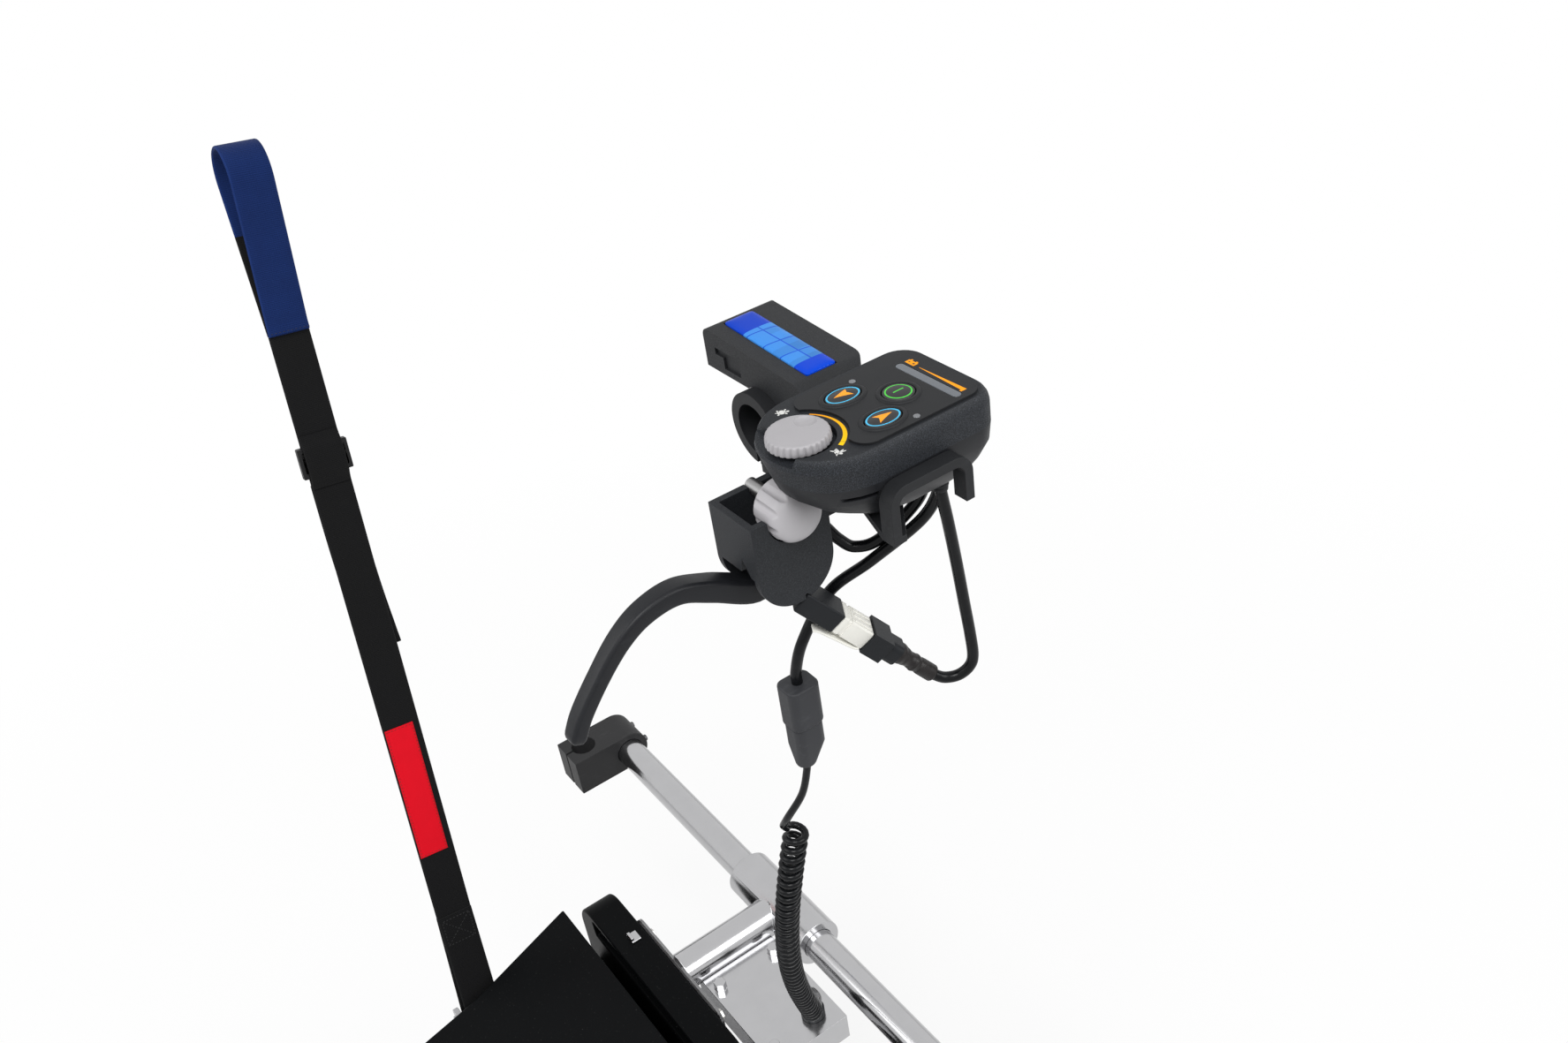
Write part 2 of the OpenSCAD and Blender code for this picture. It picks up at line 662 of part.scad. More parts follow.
module speed_dial() color(grey) translate([dial_x, dial_y, 0]) {
  difference() {
    rotate_extrude() polygon([[0, head_top - 2.8], [dial_r - 3, head_top - 2.8], [dial_r - 3, head_top - 1.2],
      [dial_r - 0.4, head_top - 1.2], [dial_r, head_top - 0.7], [dial_r - 0.4, head_top + dial_rise - 1.6],
      [dial_r - 1.2, head_top + dial_rise - 0.6], [0, head_top + dial_rise]]);
    for (i = [0 : dial_flutes - 1]) rotate(360 * i / dial_flutes)
      translate([dial_r + 0.45, 0, head_top - 3]) cylinder(h = dial_rise + 1.9, r = 0.9, $fn = 16);
    // finger dimple, turned to the slow mark
    rotate(28) translate([0, dial_r - 5.8, head_top + dial_rise + 8.7]) sphere(9.6);
  }
  translate([0, 0, shell_joint_z + 2]) cylinder(h = head_top - shell_joint_z - 4, r = dial_shaft_d / 2);
}

module dial_potentiometer() color([0.2, 0.35, 0.3]) translate([dial_x, dial_y, 0]) difference() {
  union() {
    box([-7.5, -1, shell_joint_z], [7.5, 9, shell_joint_z + 6]);
    translate([0, 0, shell_joint_z]) cylinder(h = 8.2, r = 4.4);
  }
  translate([0, 0, shell_joint_z + 1.5]) cylinder(h = 10, r = dial_shaft_d / 2 + run_gap);
}

module circuit_board() color([0.05, 0.3, 0.15]) difference() {
  box([head_x0 + 6, dial_y + 14, board_z], [head_x1 - 6, head_y1 - 6, board_z + board_t]);
  translate([dial_x, dial_y, board_z - eps]) cylinder(h = 5, r = 9);
}

// loop beside the head that keeps the cables from snagging
guard_x0 = head_x1 + 0.5;
guard_x1 = guard_x0 + 7;
guard_t = 4;
guard_y0 = -6;
guard_y1 = 32.5;
guard_top = 16;
guard_low = -4.2;
module cable_guard() color(charcoal) difference() {
  union() {
    along_x(guard_x0, guard_x1 - guard_x0) difference() {
      rounded_span(guard_y0, guard_low - 20, guard_y1, guard_top, 8);
      rounded_span(guard_y0 + guard_t, guard_low - 20, guard_y1 - guard_t, guard_top - guard_t, 4);
      span(guard_y0 - 1, guard_low - 21, guard_y1 + 1, guard_low);
    }
    // foot that runs in under the head's floor
    hull() {
      box([guard_x0, guard_y0, guard_low - 3], [guard_x1, guard_y0 + 5.8, guard_low]);
      box([floor_x0 + 14.5, floor_y0 - 2, head_floor_z - 3], [floor_x0 + 26, floor_y0 + 10, head_floor_z]);
    }
  }
  head_lower_body();
}

// lever

module lever_box_profile() {
  span(lever_box_y0, lever_round_z, lever_box_y1, lever_box_z1);
  translate([lever_round_y, lever_round_z]) circle(lever_round_r);
}

module lever_housing() color(charcoal) difference() {
  along_x(lever_box_x0, lever_box_w) lever_box_profile();
  // channel between the cheeks, open above and below
  box([lever_in_x0, lever_box_y0 + lever_box_wall, lever_box_z0 - 1],
    [lever_in_x1, lever_box_y1 - lever_box_wall, lever_box_z1 + 1]);
  // throat for the lever under the rear plate, and the notch in the plate
  box([lever_in_x0, lever_box_y0 - 1, lever_box_z0 - 1],
    [lever_in_x1, lever_round_y, lever_throat_z]);
  along_y(lever_box_y0 - 1, lever_box_wall + 2)
    polygon([[lever_x + 6, lever_throat_z - eps], [lever_x + 13, lever_throat_z - eps],
      [lever_x + 8, lever_throat_z + 7]]);
  // seat of the hand knob in the right cheek, and its stud's hole in the left one
  translate([lever_in_x1 - eps, knob_y, knob_z]) rod_x(0, lever_cheek + 1, knob_r + 0.6);
  box([lever_in_x1 - eps, knob_y - knob_r - 0.6, knob_z],
    [lever_box_x1 + 1, knob_y + knob_r + 0.6, lever_box_z1 + 1]);
  translate([lever_box_x0 - eps, knob_y, knob_z]) rod_x(0, lever_cheek + 1, stud_d / 2 + run_gap);
  // blind holes for the pivot pin
  translate([lever_box_x0 + 1.5, lever_pin_y, lever_pin_z])
    rod_x(0, lever_box_w - 3, lever_pin_r + seat_gap / 2);
  connector_block(-1, socket_len + 1, seat_gap);
}

module lever_pivot_pin() color(chrome) translate([lever_box_x0 + 1.5, lever_pin_y, lever_pin_z])
  rod_x(0, lever_box_w - 3, lever_pin_r);

// outline of a blade that follows a route with a width at each point
function blade(p, w) = concat(
  [for (i = [0 : len(p) - 1]) let (t = slope(p, i)) p[i] + w[i] / 2 * [-t[1], t[0]]],
  [for (i = [len(p) - 1 : -1 : 0]) let (t = slope(p, i)) p[i] - w[i] / 2 * [-t[1], t[0]]]);

module throttle_lever() color(charcoal) {
  path = spline(lever_route, 3);
  n = len(path) - 1;
  widths = [for (i = [0 : n]) lever_t + (i < 8 ? 3 * (1 - i / 8) : 0) - (i > n - 2 ? 1.5 : 0)];
  back = [for (p = path) [lever_pin_y - p[0], lever_pin_z + p[1]]];
  difference() {
    union() {
      along_x(lever_x - lever_w / 2, lever_w) polygon(blade(back, widths));
      along_x(lever_x - lever_w / 2, lever_w) translate(back[n]) circle((lever_t - 1.5) / 2);
      translate([lever_x - lever_boss_w / 2, lever_pin_y, lever_pin_z])
        rod_x(0, lever_boss_w, lever_boss_r);
    }
    translate([lever_x - lever_boss_w, lever_pin_y, lever_pin_z])
      rod_x(0, 2 * lever_boss_w, lever_pin_r + run_gap);
  }
}

// torsion spring round the pin beside the lever's boss
spring_wire = 1.2;
spring_turns = 3.5;
spring_pitch = 1.7;
module return_spring() color(chrome) {
  x0 = lever_x + lever_boss_w / 2 + 0.9;
  path = [for (i = [0 : 8 * spring_turns])
    let (a = 45 * i) [x0 + spring_pitch * i / 8, lever_pin_y + 4.4 * cos(a), lever_pin_z + 4.4 * sin(a)]];
  tube_along(path, spring_wire / 2, 6);
}

// ten shallow flutes, a smooth dome and a moulded-in stud
module hand_knob() color(grey) translate([0, knob_y, knob_z]) {
  difference() {
    translate([knob_x0, 0, 0]) rotate([0, 90, 0]) rotate_extrude()
      polygon(concat([[0, 0], [knob_r - 1, 0], [knob_r, 1], [knob_r, knob_len]],
        [for (a = [15 : 15 : 90]) [knob_r * cos(a), knob_len + knob_dome * sin(a)]]));
    for (i = [0 : knob_flutes - 1]) rotate([360 * i / knob_flutes, 0, 0])
      translate([0, 0, knob_r + 1.6]) rod_x(knob_x0 - 1, knob_len - 1, 3, $fn = 24);
  }
  rod_x(lever_box_x0, knob_x0 - lever_box_x0 + eps, stud_d / 2);
}

// connectors and cables

// block on the connector line, from one distance to another
module on_plug_line() {
  turn = atan2(plug_dir[1], plug_dir[0]);
  tip = acos(plug_dir[2]);
  translate(plug_from) rotate([0, tip, turn]) children();
}
module connector_block(s0, s1, grow = 0) {
  on_plug_line() translate([0, 0, s0]) linear_extrude(s1 - s0)
    square([plug_h + 2 * grow, plug_w + 2 * grow], center = true);
}
latch_s = socket_len;
plug_s = latch_s + latch_len;
sleeve_s = plug_s + plug_len;

module sensor_socket() color(black) connector_block(0, socket_len);

module latch_connector() color([0.93, 0.93, 0.91]) {
  connector_block(latch_s, plug_s, -0.4);
  // sprung latch arm along the side
  on_plug_line() translate([plug_h / 2 - 0.4, -2.5, latch_s]) cube([1.2, 5, latch_len]);
}

module cable_plug() color(black) on_plug_line() translate([0, 0, plug_s]) {
  linear_extrude(plug_len * 0.6) square([plug_h + 1, plug_w + 1], center = true);
  translate([0, 0, plug_len * 0.6 - eps]) linear_extrude(plug_len * 0.4 + eps)
    rounded_span(-plug_h / 2, -plug_w / 2 + 1, plug_h / 2, plug_w / 2 - 1, 3);
}

module plug_sleeve() color(black) on_plug_line() translate([0, 0, sleeve_s])
  rotate_extrude() polygon([[0, 0], [4.6, 0], [4.2, 5], [4.8, 7], [4, 9], [4.4, 13], [3.8, sleeve_len],
    [0, sleeve_len]]);

module loop_cable() color(black) tube_along(run(loop_route, 4), cable_d / 2, 12);
module lever_cable() color(black) tube_along(run(lever_cable_route, 4), cable_d / 2, 12);
module main_cable() color(black) tube_along(run(main_route, 4), cable_d / 2, 12);

module junction_profile(grow) {
  rounded_span(junction_x - junction_w / 2 - grow, junction_y - junction_t / 2 - grow,
    junction_x + junction_w / 2 + grow, junction_y + junction_t / 2 + grow, 4);
}
module junction_upper() color(charcoal) translate([0, 0, junction_split_z])
  linear_extrude(junction_z1 - junction_split_z) junction_profile(0);
module junction_lower() color(charcoal) hull() {
  translate([0, 0, junction_split_z - 12]) linear_extrude(12) junction_profile(-0.6);
  translate([junction_x, junction_y - 2, junction_z0]) cylinder(h = 1, r = 4.5, $fn = 32);
}

// lead, curls and tail in one unbroken tube
axis_len = let (p = [for (i = [0 : 40]) bezier(coil_axis, i / 40)])
  [for (i = [0 : 39]) norm(p[i + 1] - p[i])] * [for (i = [0 : 39]) 1];
coil_turns = round(axis_len / coil_pitch);
function coil_point(s) =
  let (t = bezier_slope(coil_axis, s), e1 = unit([1, 0, 0] - t[0] * t), e2 = cross(t, e1),
    a = coil_start + 360 * coil_turns * s)
  bezier(coil_axis, s) + coil_r * (cos(a) * e1 + sin(a) * e2);
coil_rings = 8 * coil_turns;
coil_path = concat(
  run_in(lead_route, 2),
  [for (i = [0 : coil_rings]) coil_point(i / coil_rings)],
  run_out(tail_route, 2));
coil_gap = min([for (i = [0 : len(coil_path) - 6], j = [i + 5 : min(i + 18, len(coil_path) - 1)])
  norm(coil_path[i] - coil_path[j])]) - coil_d;
module coil_cord() {
  echo(least_gap_between_curls = coil_gap);
  color(black) tube_along(coil_path, coil_d / 2, 6);
}

module drive_plug() color(black) translate([plug_x, plug_y, block_top]) rotate_extrude()
  polygon([[0, 0], [9, 0], [9, 7], [6.5, 8.5], [6.5, 13], [4, plug_top - block_top],
    [0, plug_top - block_top]]);

// strap

module on_strap() {
  translate(strap_from) rotate([strap_tilt_x, strap_tilt_y, 0]) children();
}
// a ribbon's side view run across its width
module ribbon(w) {
  rotate([90, 0, 0]) linear_extrude(w, center = true) children();
}
// closed loop round a rod at (0, at) that runs together at a point further along
module loop_profile(r, at, end) {
  difference() {
    hull() {
      translate([0, at]) circle(r + web_t, $fn = 48);
      translate([0, end]) square([2 * web_t, 0.2], center = true);
    }
    hull() {
      translate([0, at]) circle(r, $fn = 48);
      translate([0, end + (end > at ? -1 : 1) * 6]) square([0.3, 0.2], center = true);
    }
  }
}

module strap_loop() color([0.06, 0.09, 0.25]) on_strap() ribbon(web_w) loop_profile(loop_r, 0, -loop_len);

web_start = loop_len + 0.1;
web_end = strap_len - fold_len - 0.1;
module strap_webbing() color([0.09, 0.08, 0.08]) on_strap()
  translate([-web_t / 2, -web_w / 2, -web_end]) cube([web_t, web_w, web_end - web_start]);

slider_h = 22;
slider_wall = 3.5;
module strap_slider() color(black) on_strap() translate([0, 0, -slider_at]) difference() {
  translate([-web_t / 2 - 2, -web_w / 2 - slider_wall, -slider_h / 2])
    cube([web_t + 4, web_w + 2 * slider_wall, slider_h]);
  translate([-web_t / 2 - 0.1, -web_w / 2 - 0.3, -slider_h]) cube([web_t + 0.2, web_w + 0.6, 2 * slider_h]);
  for (s = [-1, 1]) translate([0, -web_w / 2 - 0.3, s * 5 - 2.5]) cube([web_t + 5, web_w + 0.6, 5]);
}

patch_end = strap_len - patch_over_pin;
// the patch keeps 1 mm from the webbing's rear edge
patch_wide = min(patch_w, web_w - 2);
module strap_patch() color([0.72, 0.05, 0.05]) on_strap()
  translate([web_t / 2, 1 - web_w / 2, -patch_end]) cube([1, patch_wide, patch_len]);

module strap_lower_loop() color([0.09, 0.08, 0.08]) on_strap()
  ribbon(web_w) loop_profile(fold_r, -strap_len, -strap_len + fold_len);

// drive unit: fixed bar

module bar_clamp(x) {
  w = tube_d + 14;
  difference() {
    along_x(x - w / 2, w) hull() {
      translate([bar_y, bar_z]) circle(bar_r + 6, $fn = 48);
      translate([bar_y - 36, bar_z]) square([tube_d + 14, 2 * bar_r + 12], center = true);
    }
    translate([x, bar_y - 36, bar_z - 30]) cylinder(h = 60, r = tube_r);
    translate([0, bar_y, bar_z]) rod_x(x - w, 2 * w, bar_r + run_gap);
    box([x - 1, bar_y - 70, bar_z - 30], [x + 1, bar_y - 36, bar_z + 30]);
  }
}
module frame_clamp_right() color(charcoal) bar_clamp(0);
module frame_clamp_left() color(charcoal) bar_clamp(-handle_spacing);
module cross_bar() color(chrome) translate([0, bar_y, bar_z]) difference() {
  rod_x(-handle_spacing - 22, handle_spacing + 44, bar_r);
  rod_x(-handle_spacing - 23, handle_spacing + 46, bar_r - 2.5);
}

// drive unit: swinging chassis

module swing_arm() color(chrome) difference() {
  union() {
    translate([mid_x, 0, bar_z]) rod_y(dock_y1 + plate_t, bar_y - dock_y1 - plate_t, arm_r);
    translate([mid_x - 48, bar_y, bar_z]) rod_x(0, 96, bar_r + 7);
  }
  translate([mid_x - 60, bar_y, bar_z]) rod_x(0, 120, bar_r + run_gap);
}

module mount_block() color(chrome) difference() {
  union() {
    box([mid_x + arm_r * 0.6, block_y0, block_top - 24], [plug_x + 18, block_y1, block_top]);
    for (y = [block_y0 + 8, block_y1 - 8]) translate([mid_x + arm_r + 14, y, block_top - eps])
      cylinder(h = 7, r = 5, $fn = 6);
    translate([plug_x + 8, block_y0 + 8, block_top - eps]) cylinder(h = 9, r = 4);
  }
  translate([mid_x, 0, bar_z]) rod_y(dock_y1, bar_y - dock_y1, arm_r + seat_gap);
}

module chassis_frame() color(chrome) {
  along_y(dock_y1, plate_t) difference() {
    rounded_span(mid_x - plate_half, tray_z - tray_t, mid_x + plate_half, dock_top - 1, 10);
    for (s = [-1, 1]) translate([mid_x + s * 40, tray_z + 60]) circle(9);
  }
  for (s = [-1, 1]) along_x(mid_x + s * (side_x + side_t / 2) - side_t / 2, side_t) difference() {
    union() {
      polygon([[-120, tray_z - tray_t], [dock_y1, tray_z - tray_t], [dock_y1, tray_z - tray_t - 18],
        [axle_y + 20, axle_z - 8], [axle_y - 20, axle_z - 8], [-120, tray_z - tray_t - 40]]);
      translate([axle_y, axle_z]) circle(22);
    }
    translate([axle_y, axle_z]) circle(axle_r + run_gap);
  }
}

module battery_tray() color(black) difference() {
  box([mid_x - batt_w / 2 - 6, batt_y0 - 4, tray_z - tray_t], [mid_x + batt_w / 2, dock_y1, tray_z]);
  for (x = [-60, 0, 60]) translate([mid_x + x, batt_y0 + 54, tray_z - tray_t - eps])
    linear_extrude(tray_t + 2 * eps) oval(14, 60);
}

module dock_housing() color(black) difference() {
  along_y(dock_y0, dock_t) {
    span(mid_x - dock_w / 2, tray_z, mid_x + dock_w / 2, dock_top - dock_r);
    span(mid_x - dock_w / 2 + dock_r, tray_z, mid_x + dock_w / 2 - dock_r, dock_top);
    for (s = [-1, 1]) translate([mid_x + s * (dock_w / 2 - dock_r), dock_top - dock_r]) circle(dock_r);
  }
  // hand recess along the rear of the crest
  along_x(mid_x - dock_w / 2 + dock_r, dock_w - 2 * dock_r)
    span(dock_y0 - 1, dock_top - 22, dock_y0 + 8, dock_top - 6);
}

module battery_catch() color(chrome) translate([mid_x - 42, dock_y0 + 16, dock_top]) {
  box([-5, -4, 0], [5, 4, 2.4]);
  box([-4, -4, 2.4 - eps], [4, -1.5, 5.5]);
}

module lift_bracket() color(chrome) {
  plate_x = mid_x - batt_w / 2 - 6;
  box([plate_x - 4, lift_y - 21, tray_z - tray_t], [plate_x, lift_y + 21, lift_z - 11]);
  for (y = [lift_y - 20, lift_y + 16]) difference() {
    along_y(y, 4) {
      span(lift_x, lift_z - 9, plate_x, lift_z + 9);
      translate([lift_x, lift_z]) circle(9);
      span(plate_x - 4, lift_z - 14, plate_x, lift_z + 9);
    }
    translate([lift_x, 0, lift_z]) rod_y(y - 1, 6, lift_pin_r - 0.5);
  }
  translate([lift_x, 0, lift_z]) rod_y(lift_y - 22, 44, lift_pin_r);
}

module gearbox_outline(grow) {
  hull() {
    translate([axle_y, axle_z]) circle(gear_module * (gear_teeth / 2 + 1) + 3 + grow, $fn = 64);
    translate([axle_y, motor_z]) circle(gear_module * (pinion_teeth / 2 + 1) + 5 + grow, $fn = 48);
  }
}
motor_shaft_r = 4;
module gearbox_case() color([0.25, 0.25, 0.26]) difference() {
  along_x(gearbox_x0, gearbox_w) gearbox_outline(3);
  along_x(gearbox_x0 + 3, gearbox_w - 6) gearbox_outline(0);
  translate([gearbox_x0 - 1, axle_y, axle_z]) rod_x(0, gearbox_w + 2, axle_r + run_gap);
  translate([gearbox_x0 + 4, axle_y, motor_z]) rod_x(0, gearbox_w, motor_shaft_r + run_gap);
}

module drive_motor() color([0.12, 0.12, 0.13]) difference() {
  translate([motor_x0, axle_y, motor_z]) rotate([0, 90, 0]) rotate_extrude()
    polygon([[0, 0], [motor_r - 3, 0], [motor_r, 3], [motor_r, 36], [motor_r - 4, 41], [0, 41]]);
  translate([motor_x0 - 1, axle_y, motor_z]) rod_x(0, 20, motor_shaft_r + run_gap);
}

// involute gear drawn about the origin, with a tooth on +X
function involute(a) = tan(a) * 180 / PI - a;
function tooth_half(teeth, r) =
  let (rp = gear_module * teeth / 2, rb = rp * cos(20))
  90 / teeth - 0.12 / rp * 180 / PI + involute(20) - involute(r > rb ? acos(rb / r) : 0);
module gear_outline(teeth) {
  rp = gear_module * teeth / 2;
  radii = [for (k = [0 : 3]) rp - 1.2 * gear_module + k / 3 * 2.1 * gear_module];
  polygon([for (i = [0 : teeth - 1]) let (c = 360 * i / teeth) each concat(
    [for (r = radii) r * [cos(c - tooth_half(teeth, r)), sin(c - tooth_half(teeth, r))]],
    [for (k = [3 : -1 : 0]) let (r = radii[k]) r * [cos(c + tooth_half(teeth, r)),
      sin(c + tooth_half(teeth, r))]])]);
}

module axle_gear() color(chrome) along_x(gear_x0, gear_w) translate([axle_y, axle_z]) difference() {
  gear_outline(gear_teeth);
  circle(axle_r + seat_gap / 5);
  for (a = [0 : 60 : 300]) rotate(a) translate([gear_module * gear_teeth / 3.6, 0]) circle(7);
}
module motor_pinion() color(chrome) {
  along_x(gear_x0, gear_w) translate([axle_y, motor_z]) rotate(180 / pinion_teeth)
    gear_outline(pinion_teeth);
  translate([gear_x0 + gear_w - eps, axle_y, motor_z]) rod_x(0, 20, motor_shaft_r);
}
module drive_axle() color(chrome) translate([mid_x, axle_y, axle_z])
  rod_x(-axle_end, 2 * axle_end, axle_r);

// wheels

// section of rim, web and hub, drawn with the radius along x
module wheel(s) {
  hub_r = 20;
  translate([mid_x + s * wheel_x, axle_y, axle_z]) rotate([0, s * 90, 0]) difference() {
    rotate_extrude() polygon([[axle_r + seat_gap / 5, 0], [hub_r, 0], [hub_r, 12], [rim_d / 2 - 8, 16],
      [rim_d / 2 - 8, 4], [rim_d / 2, 4], [rim_d / 2, tyre_w - 4], [rim_d / 2 - 8, tyre_w - 4],
      [rim_d / 2 - 8, 26], [hub_r, 28], [hub_r, tyre_w + 2], [axle_r + seat_gap / 5, tyre_w + 2]]);
    for (a = [0 : 72 : 359]) rotate(a) translate([(hub_r + rim_d / 2 - 8) / 2, 0, -1])
      cylinder(h = tyre_w + 4, r = 9);
  }
}
module tyre(s) {
  translate([mid_x + s * wheel_x, axle_y, axle_z]) rotate([0, s * 90, 0]) difference() {
    rotate_extrude() difference() {
      hull() {
        translate([wheel_r - 14, 14]) circle(14, $fn = 32);
        translate([wheel_r - 14, tyre_w - 14]) circle(14, $fn = 32);
        translate([rim_d / 2, 3]) square([2, tyre_w - 6]);
      }
      translate([0, -1]) square([rim_d / 2, tyre_w + 2]);
    }
    for (z = [tyre_w / 2 - 7, tyre_w / 2 + 7]) translate([0, 0, z]) rotate_extrude()
      translate([wheel_r, 0]) circle(1.6, $fn = 16);
  }
}
module wheel_left() color([0.75, 0.75, 0.76]) wheel(-1);
module wheel_right() color([0.75, 0.75, 0.76]) wheel(1);
module tyre_left() color(black) tyre(-1);
module tyre_right() color(black) tyre(1);

// battery

// side view of the case: wedge crest over a hand recess, sloping lid with a crease
batt_crease_y = -124;
batt_crease_z = batt_z1 - 36;
batt_rear_z = batt_z1 - 54;
module batt_profile(inset) {
  polygon([[batt_lip_y - inset, batt_z1 - 1.4 * inset], [batt_crease_y, batt_crease_z - 1.05 * inset],
    [batt_y0 + 8, batt_rear_z - inset], [batt_y0 + inset, batt_rear_z - 10],
    [batt_y0 + inset, batt_z0 + inset], [batt_y1 - inset, batt_z0 + inset],
    [batt_y1 - inset, batt_seam_z - inset], [batt_lip_y - inset, batt_seam_z + 14 - inset]]);
}
module batt_shell() difference() {
  along_x(mid_x - batt_w / 2, batt_w) batt_profile(0);
  along_x(mid_x - batt_w / 2 + batt_wall, batt_w - 2 * batt_wall) batt_profile(batt_wall);
}
module below_seam() {
  box([mid_x - batt_w, batt_y0 - 10, batt_z0 - 10], [mid_x + batt_w, batt_y1 + 10, batt_seam_z]);
}
module battery_tub() color(black) intersection() {
  batt_shell();
  below_seam();
}
module battery_lid() color(black) difference() {
  batt_shell();
  below_seam();
}
module battery_cells() color([0.3, 0.32, 0.35]) for (s = [-1, 1])
  translate([mid_x + s * (batt_w / 4 - 2), 0, 0]) {
    box([-batt_w / 4 + 6, batt_y0 + 8, batt_z0 + batt_wall], [batt_w / 4 - 6, batt_y1 - 8, batt_seam_z - 8]);
    for (y = [batt_y0 + 54, batt_y1 - 47]) translate([0, y, batt_seam_z - 8 - eps]) cylinder(h = 5, r = 4);
  }

clamp_collar();
clamp_hood();
label_plate();
pinch_bolt();
bracket_arm();
head_lower_shell();
head_upper_shell();
keypad_panel();
gauge_window();
indicator_lamps();
power_button();
reverse_button();
forward_button();
speed_dial();
dial_potentiometer();
circuit_board();
cable_guard();
hand_knob();
lever_housing();
lever_pivot_pin();
throttle_lever();
return_spring();
loop_cable();
cable_plug();
plug_sleeve();
latch_connector();
sensor_socket();
lever_cable();
main_cable();
junction_upper();
junction_lower();
coil_cord();
drive_plug();
strap_loop();
strap_webbing();
strap_slider();
strap_patch();
strap_lower_loop();
cross_bar();
frame_clamp_left();
frame_clamp_right();
swing_arm();
mount_block();
dock_housing();
battery_catch();
battery_tray();
chassis_frame();
lift_bracket();
drive_motor();
gearbox_case();
motor_pinion();
drive_axle();
axle_gear();
wheel_left();
wheel_right();
tyre_left();
tyre_right();
battery_tub();
battery_lid();
battery_cells();
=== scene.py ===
import math

import bmesh
import bpy
from mathutils import Matrix, Vector


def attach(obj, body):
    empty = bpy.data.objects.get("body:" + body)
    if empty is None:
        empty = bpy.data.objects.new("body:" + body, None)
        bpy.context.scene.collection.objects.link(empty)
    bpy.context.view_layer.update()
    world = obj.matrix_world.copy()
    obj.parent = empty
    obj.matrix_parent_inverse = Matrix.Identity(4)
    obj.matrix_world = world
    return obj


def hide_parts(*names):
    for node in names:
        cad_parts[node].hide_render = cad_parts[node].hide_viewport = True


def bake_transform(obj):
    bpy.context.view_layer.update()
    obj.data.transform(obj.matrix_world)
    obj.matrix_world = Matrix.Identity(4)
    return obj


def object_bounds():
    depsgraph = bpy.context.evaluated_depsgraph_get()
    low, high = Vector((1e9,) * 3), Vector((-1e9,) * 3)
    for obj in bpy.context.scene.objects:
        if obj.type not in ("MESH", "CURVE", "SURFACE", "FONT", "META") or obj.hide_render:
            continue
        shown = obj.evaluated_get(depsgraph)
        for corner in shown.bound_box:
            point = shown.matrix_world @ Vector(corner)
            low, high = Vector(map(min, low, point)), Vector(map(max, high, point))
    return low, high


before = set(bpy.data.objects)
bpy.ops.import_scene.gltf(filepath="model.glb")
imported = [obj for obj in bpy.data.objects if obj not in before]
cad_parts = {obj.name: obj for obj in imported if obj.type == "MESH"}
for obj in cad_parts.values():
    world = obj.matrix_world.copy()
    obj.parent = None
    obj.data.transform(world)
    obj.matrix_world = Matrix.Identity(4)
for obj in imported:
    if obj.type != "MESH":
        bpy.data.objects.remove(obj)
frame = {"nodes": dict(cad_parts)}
CAD_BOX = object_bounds()

bl_info = {
    "name": "Wheelchair power assist",
    "version": (1, 0, 0),
    "blender": (4, 5, 0),
    "location": "3D View > Sidebar > Power assist",
    "description": "Dresses the packed power assist with its finishes, cords, strap and prints",
    "category": "Object",
}

MM = 0.001
FLOOR = CAD_BOX[0].z
RIGHT = Vector((1, 0, 0))
# places that several pieces or prints share, in mm: the head's deck and panel film, the middles of its
# dial, keys and gauge, the hand knob, the lever's pin, the label, the plug line and the strap's two ends
DECK, FILM = 30.0, 31.0
DIAL = (62.0, -18.3)
POWER_KEY = (65.1, 25.5)
REVERSE_KEY = (51.7, 9.9)
FORWARD_KEY = (75.5, 9.9)
GAUGE = (65.6, 39.1)
KNOB = (31.5, -14.0, -13.0)
LEVER_PIN = Vector((25.3, -14.0, -46.0))
LABEL = (-5.82, 21.0, 29.22)
PLUG_FROM, PLUG_TO = Vector((37, -13, -56.5)), Vector((62, 31.5, -110))
STRAP_FROM, STRAP_TO = Vector((-525, -47, 0)), Vector((-374, -122, -640))
# the drive's middle plane, and its axle as (y, z)
MID_X = -262.5
AXLE = (-60.0, -860.0)
# where the three cables leave the head, as (x, y)
LOOP_HOLE, LEVER_HOLE, MAIN_HOLE = (72, 36), (58, 41), (66, 41)
# colour and roughness of two steels that several pieces have
BRIGHT, ZINC = ((0.6, 0.6, 0.6), 0.2), ((0.58, 0.57, 0.55), 0.3)


def tone(red, green, blue):
    """A colour as it is picked from a screen, 0 to 255, turned to the shaders' scale."""
    return tuple((c / 255 / 12.92) if c < 11 else ((c / 255 + 0.055) / 1.055) ** 2.4
                 for c in (red, green, blue))


# sizes and colours that a user would change

def length(label, text, mm, low=0.0, high=2000.0):
    """A size given in mm and kept in metres."""
    return bpy.props.FloatProperty(name=label, description=text, default=mm * MM, min=low * MM,
                                   max=high * MM, unit="LENGTH", precision=4)


def number(label, text, value, low, high):
    return bpy.props.IntProperty(name=label, description=text, default=value, min=low, max=high)


def amount(label, text, value, low=0.0, high=200.0):
    return bpy.props.FloatProperty(name=label, description=text, default=value, min=low, max=high)


def degrees(label, text, value):
    return bpy.props.FloatProperty(name=label, description=text, default=math.radians(value),
                                   subtype="ANGLE")


def colour(label, text, *rgb):
    return bpy.props.FloatVectorProperty(name=label, description=text, default=tone(*rgb), size=3,
                                         min=0.0, max=1.0, subtype="COLOR")


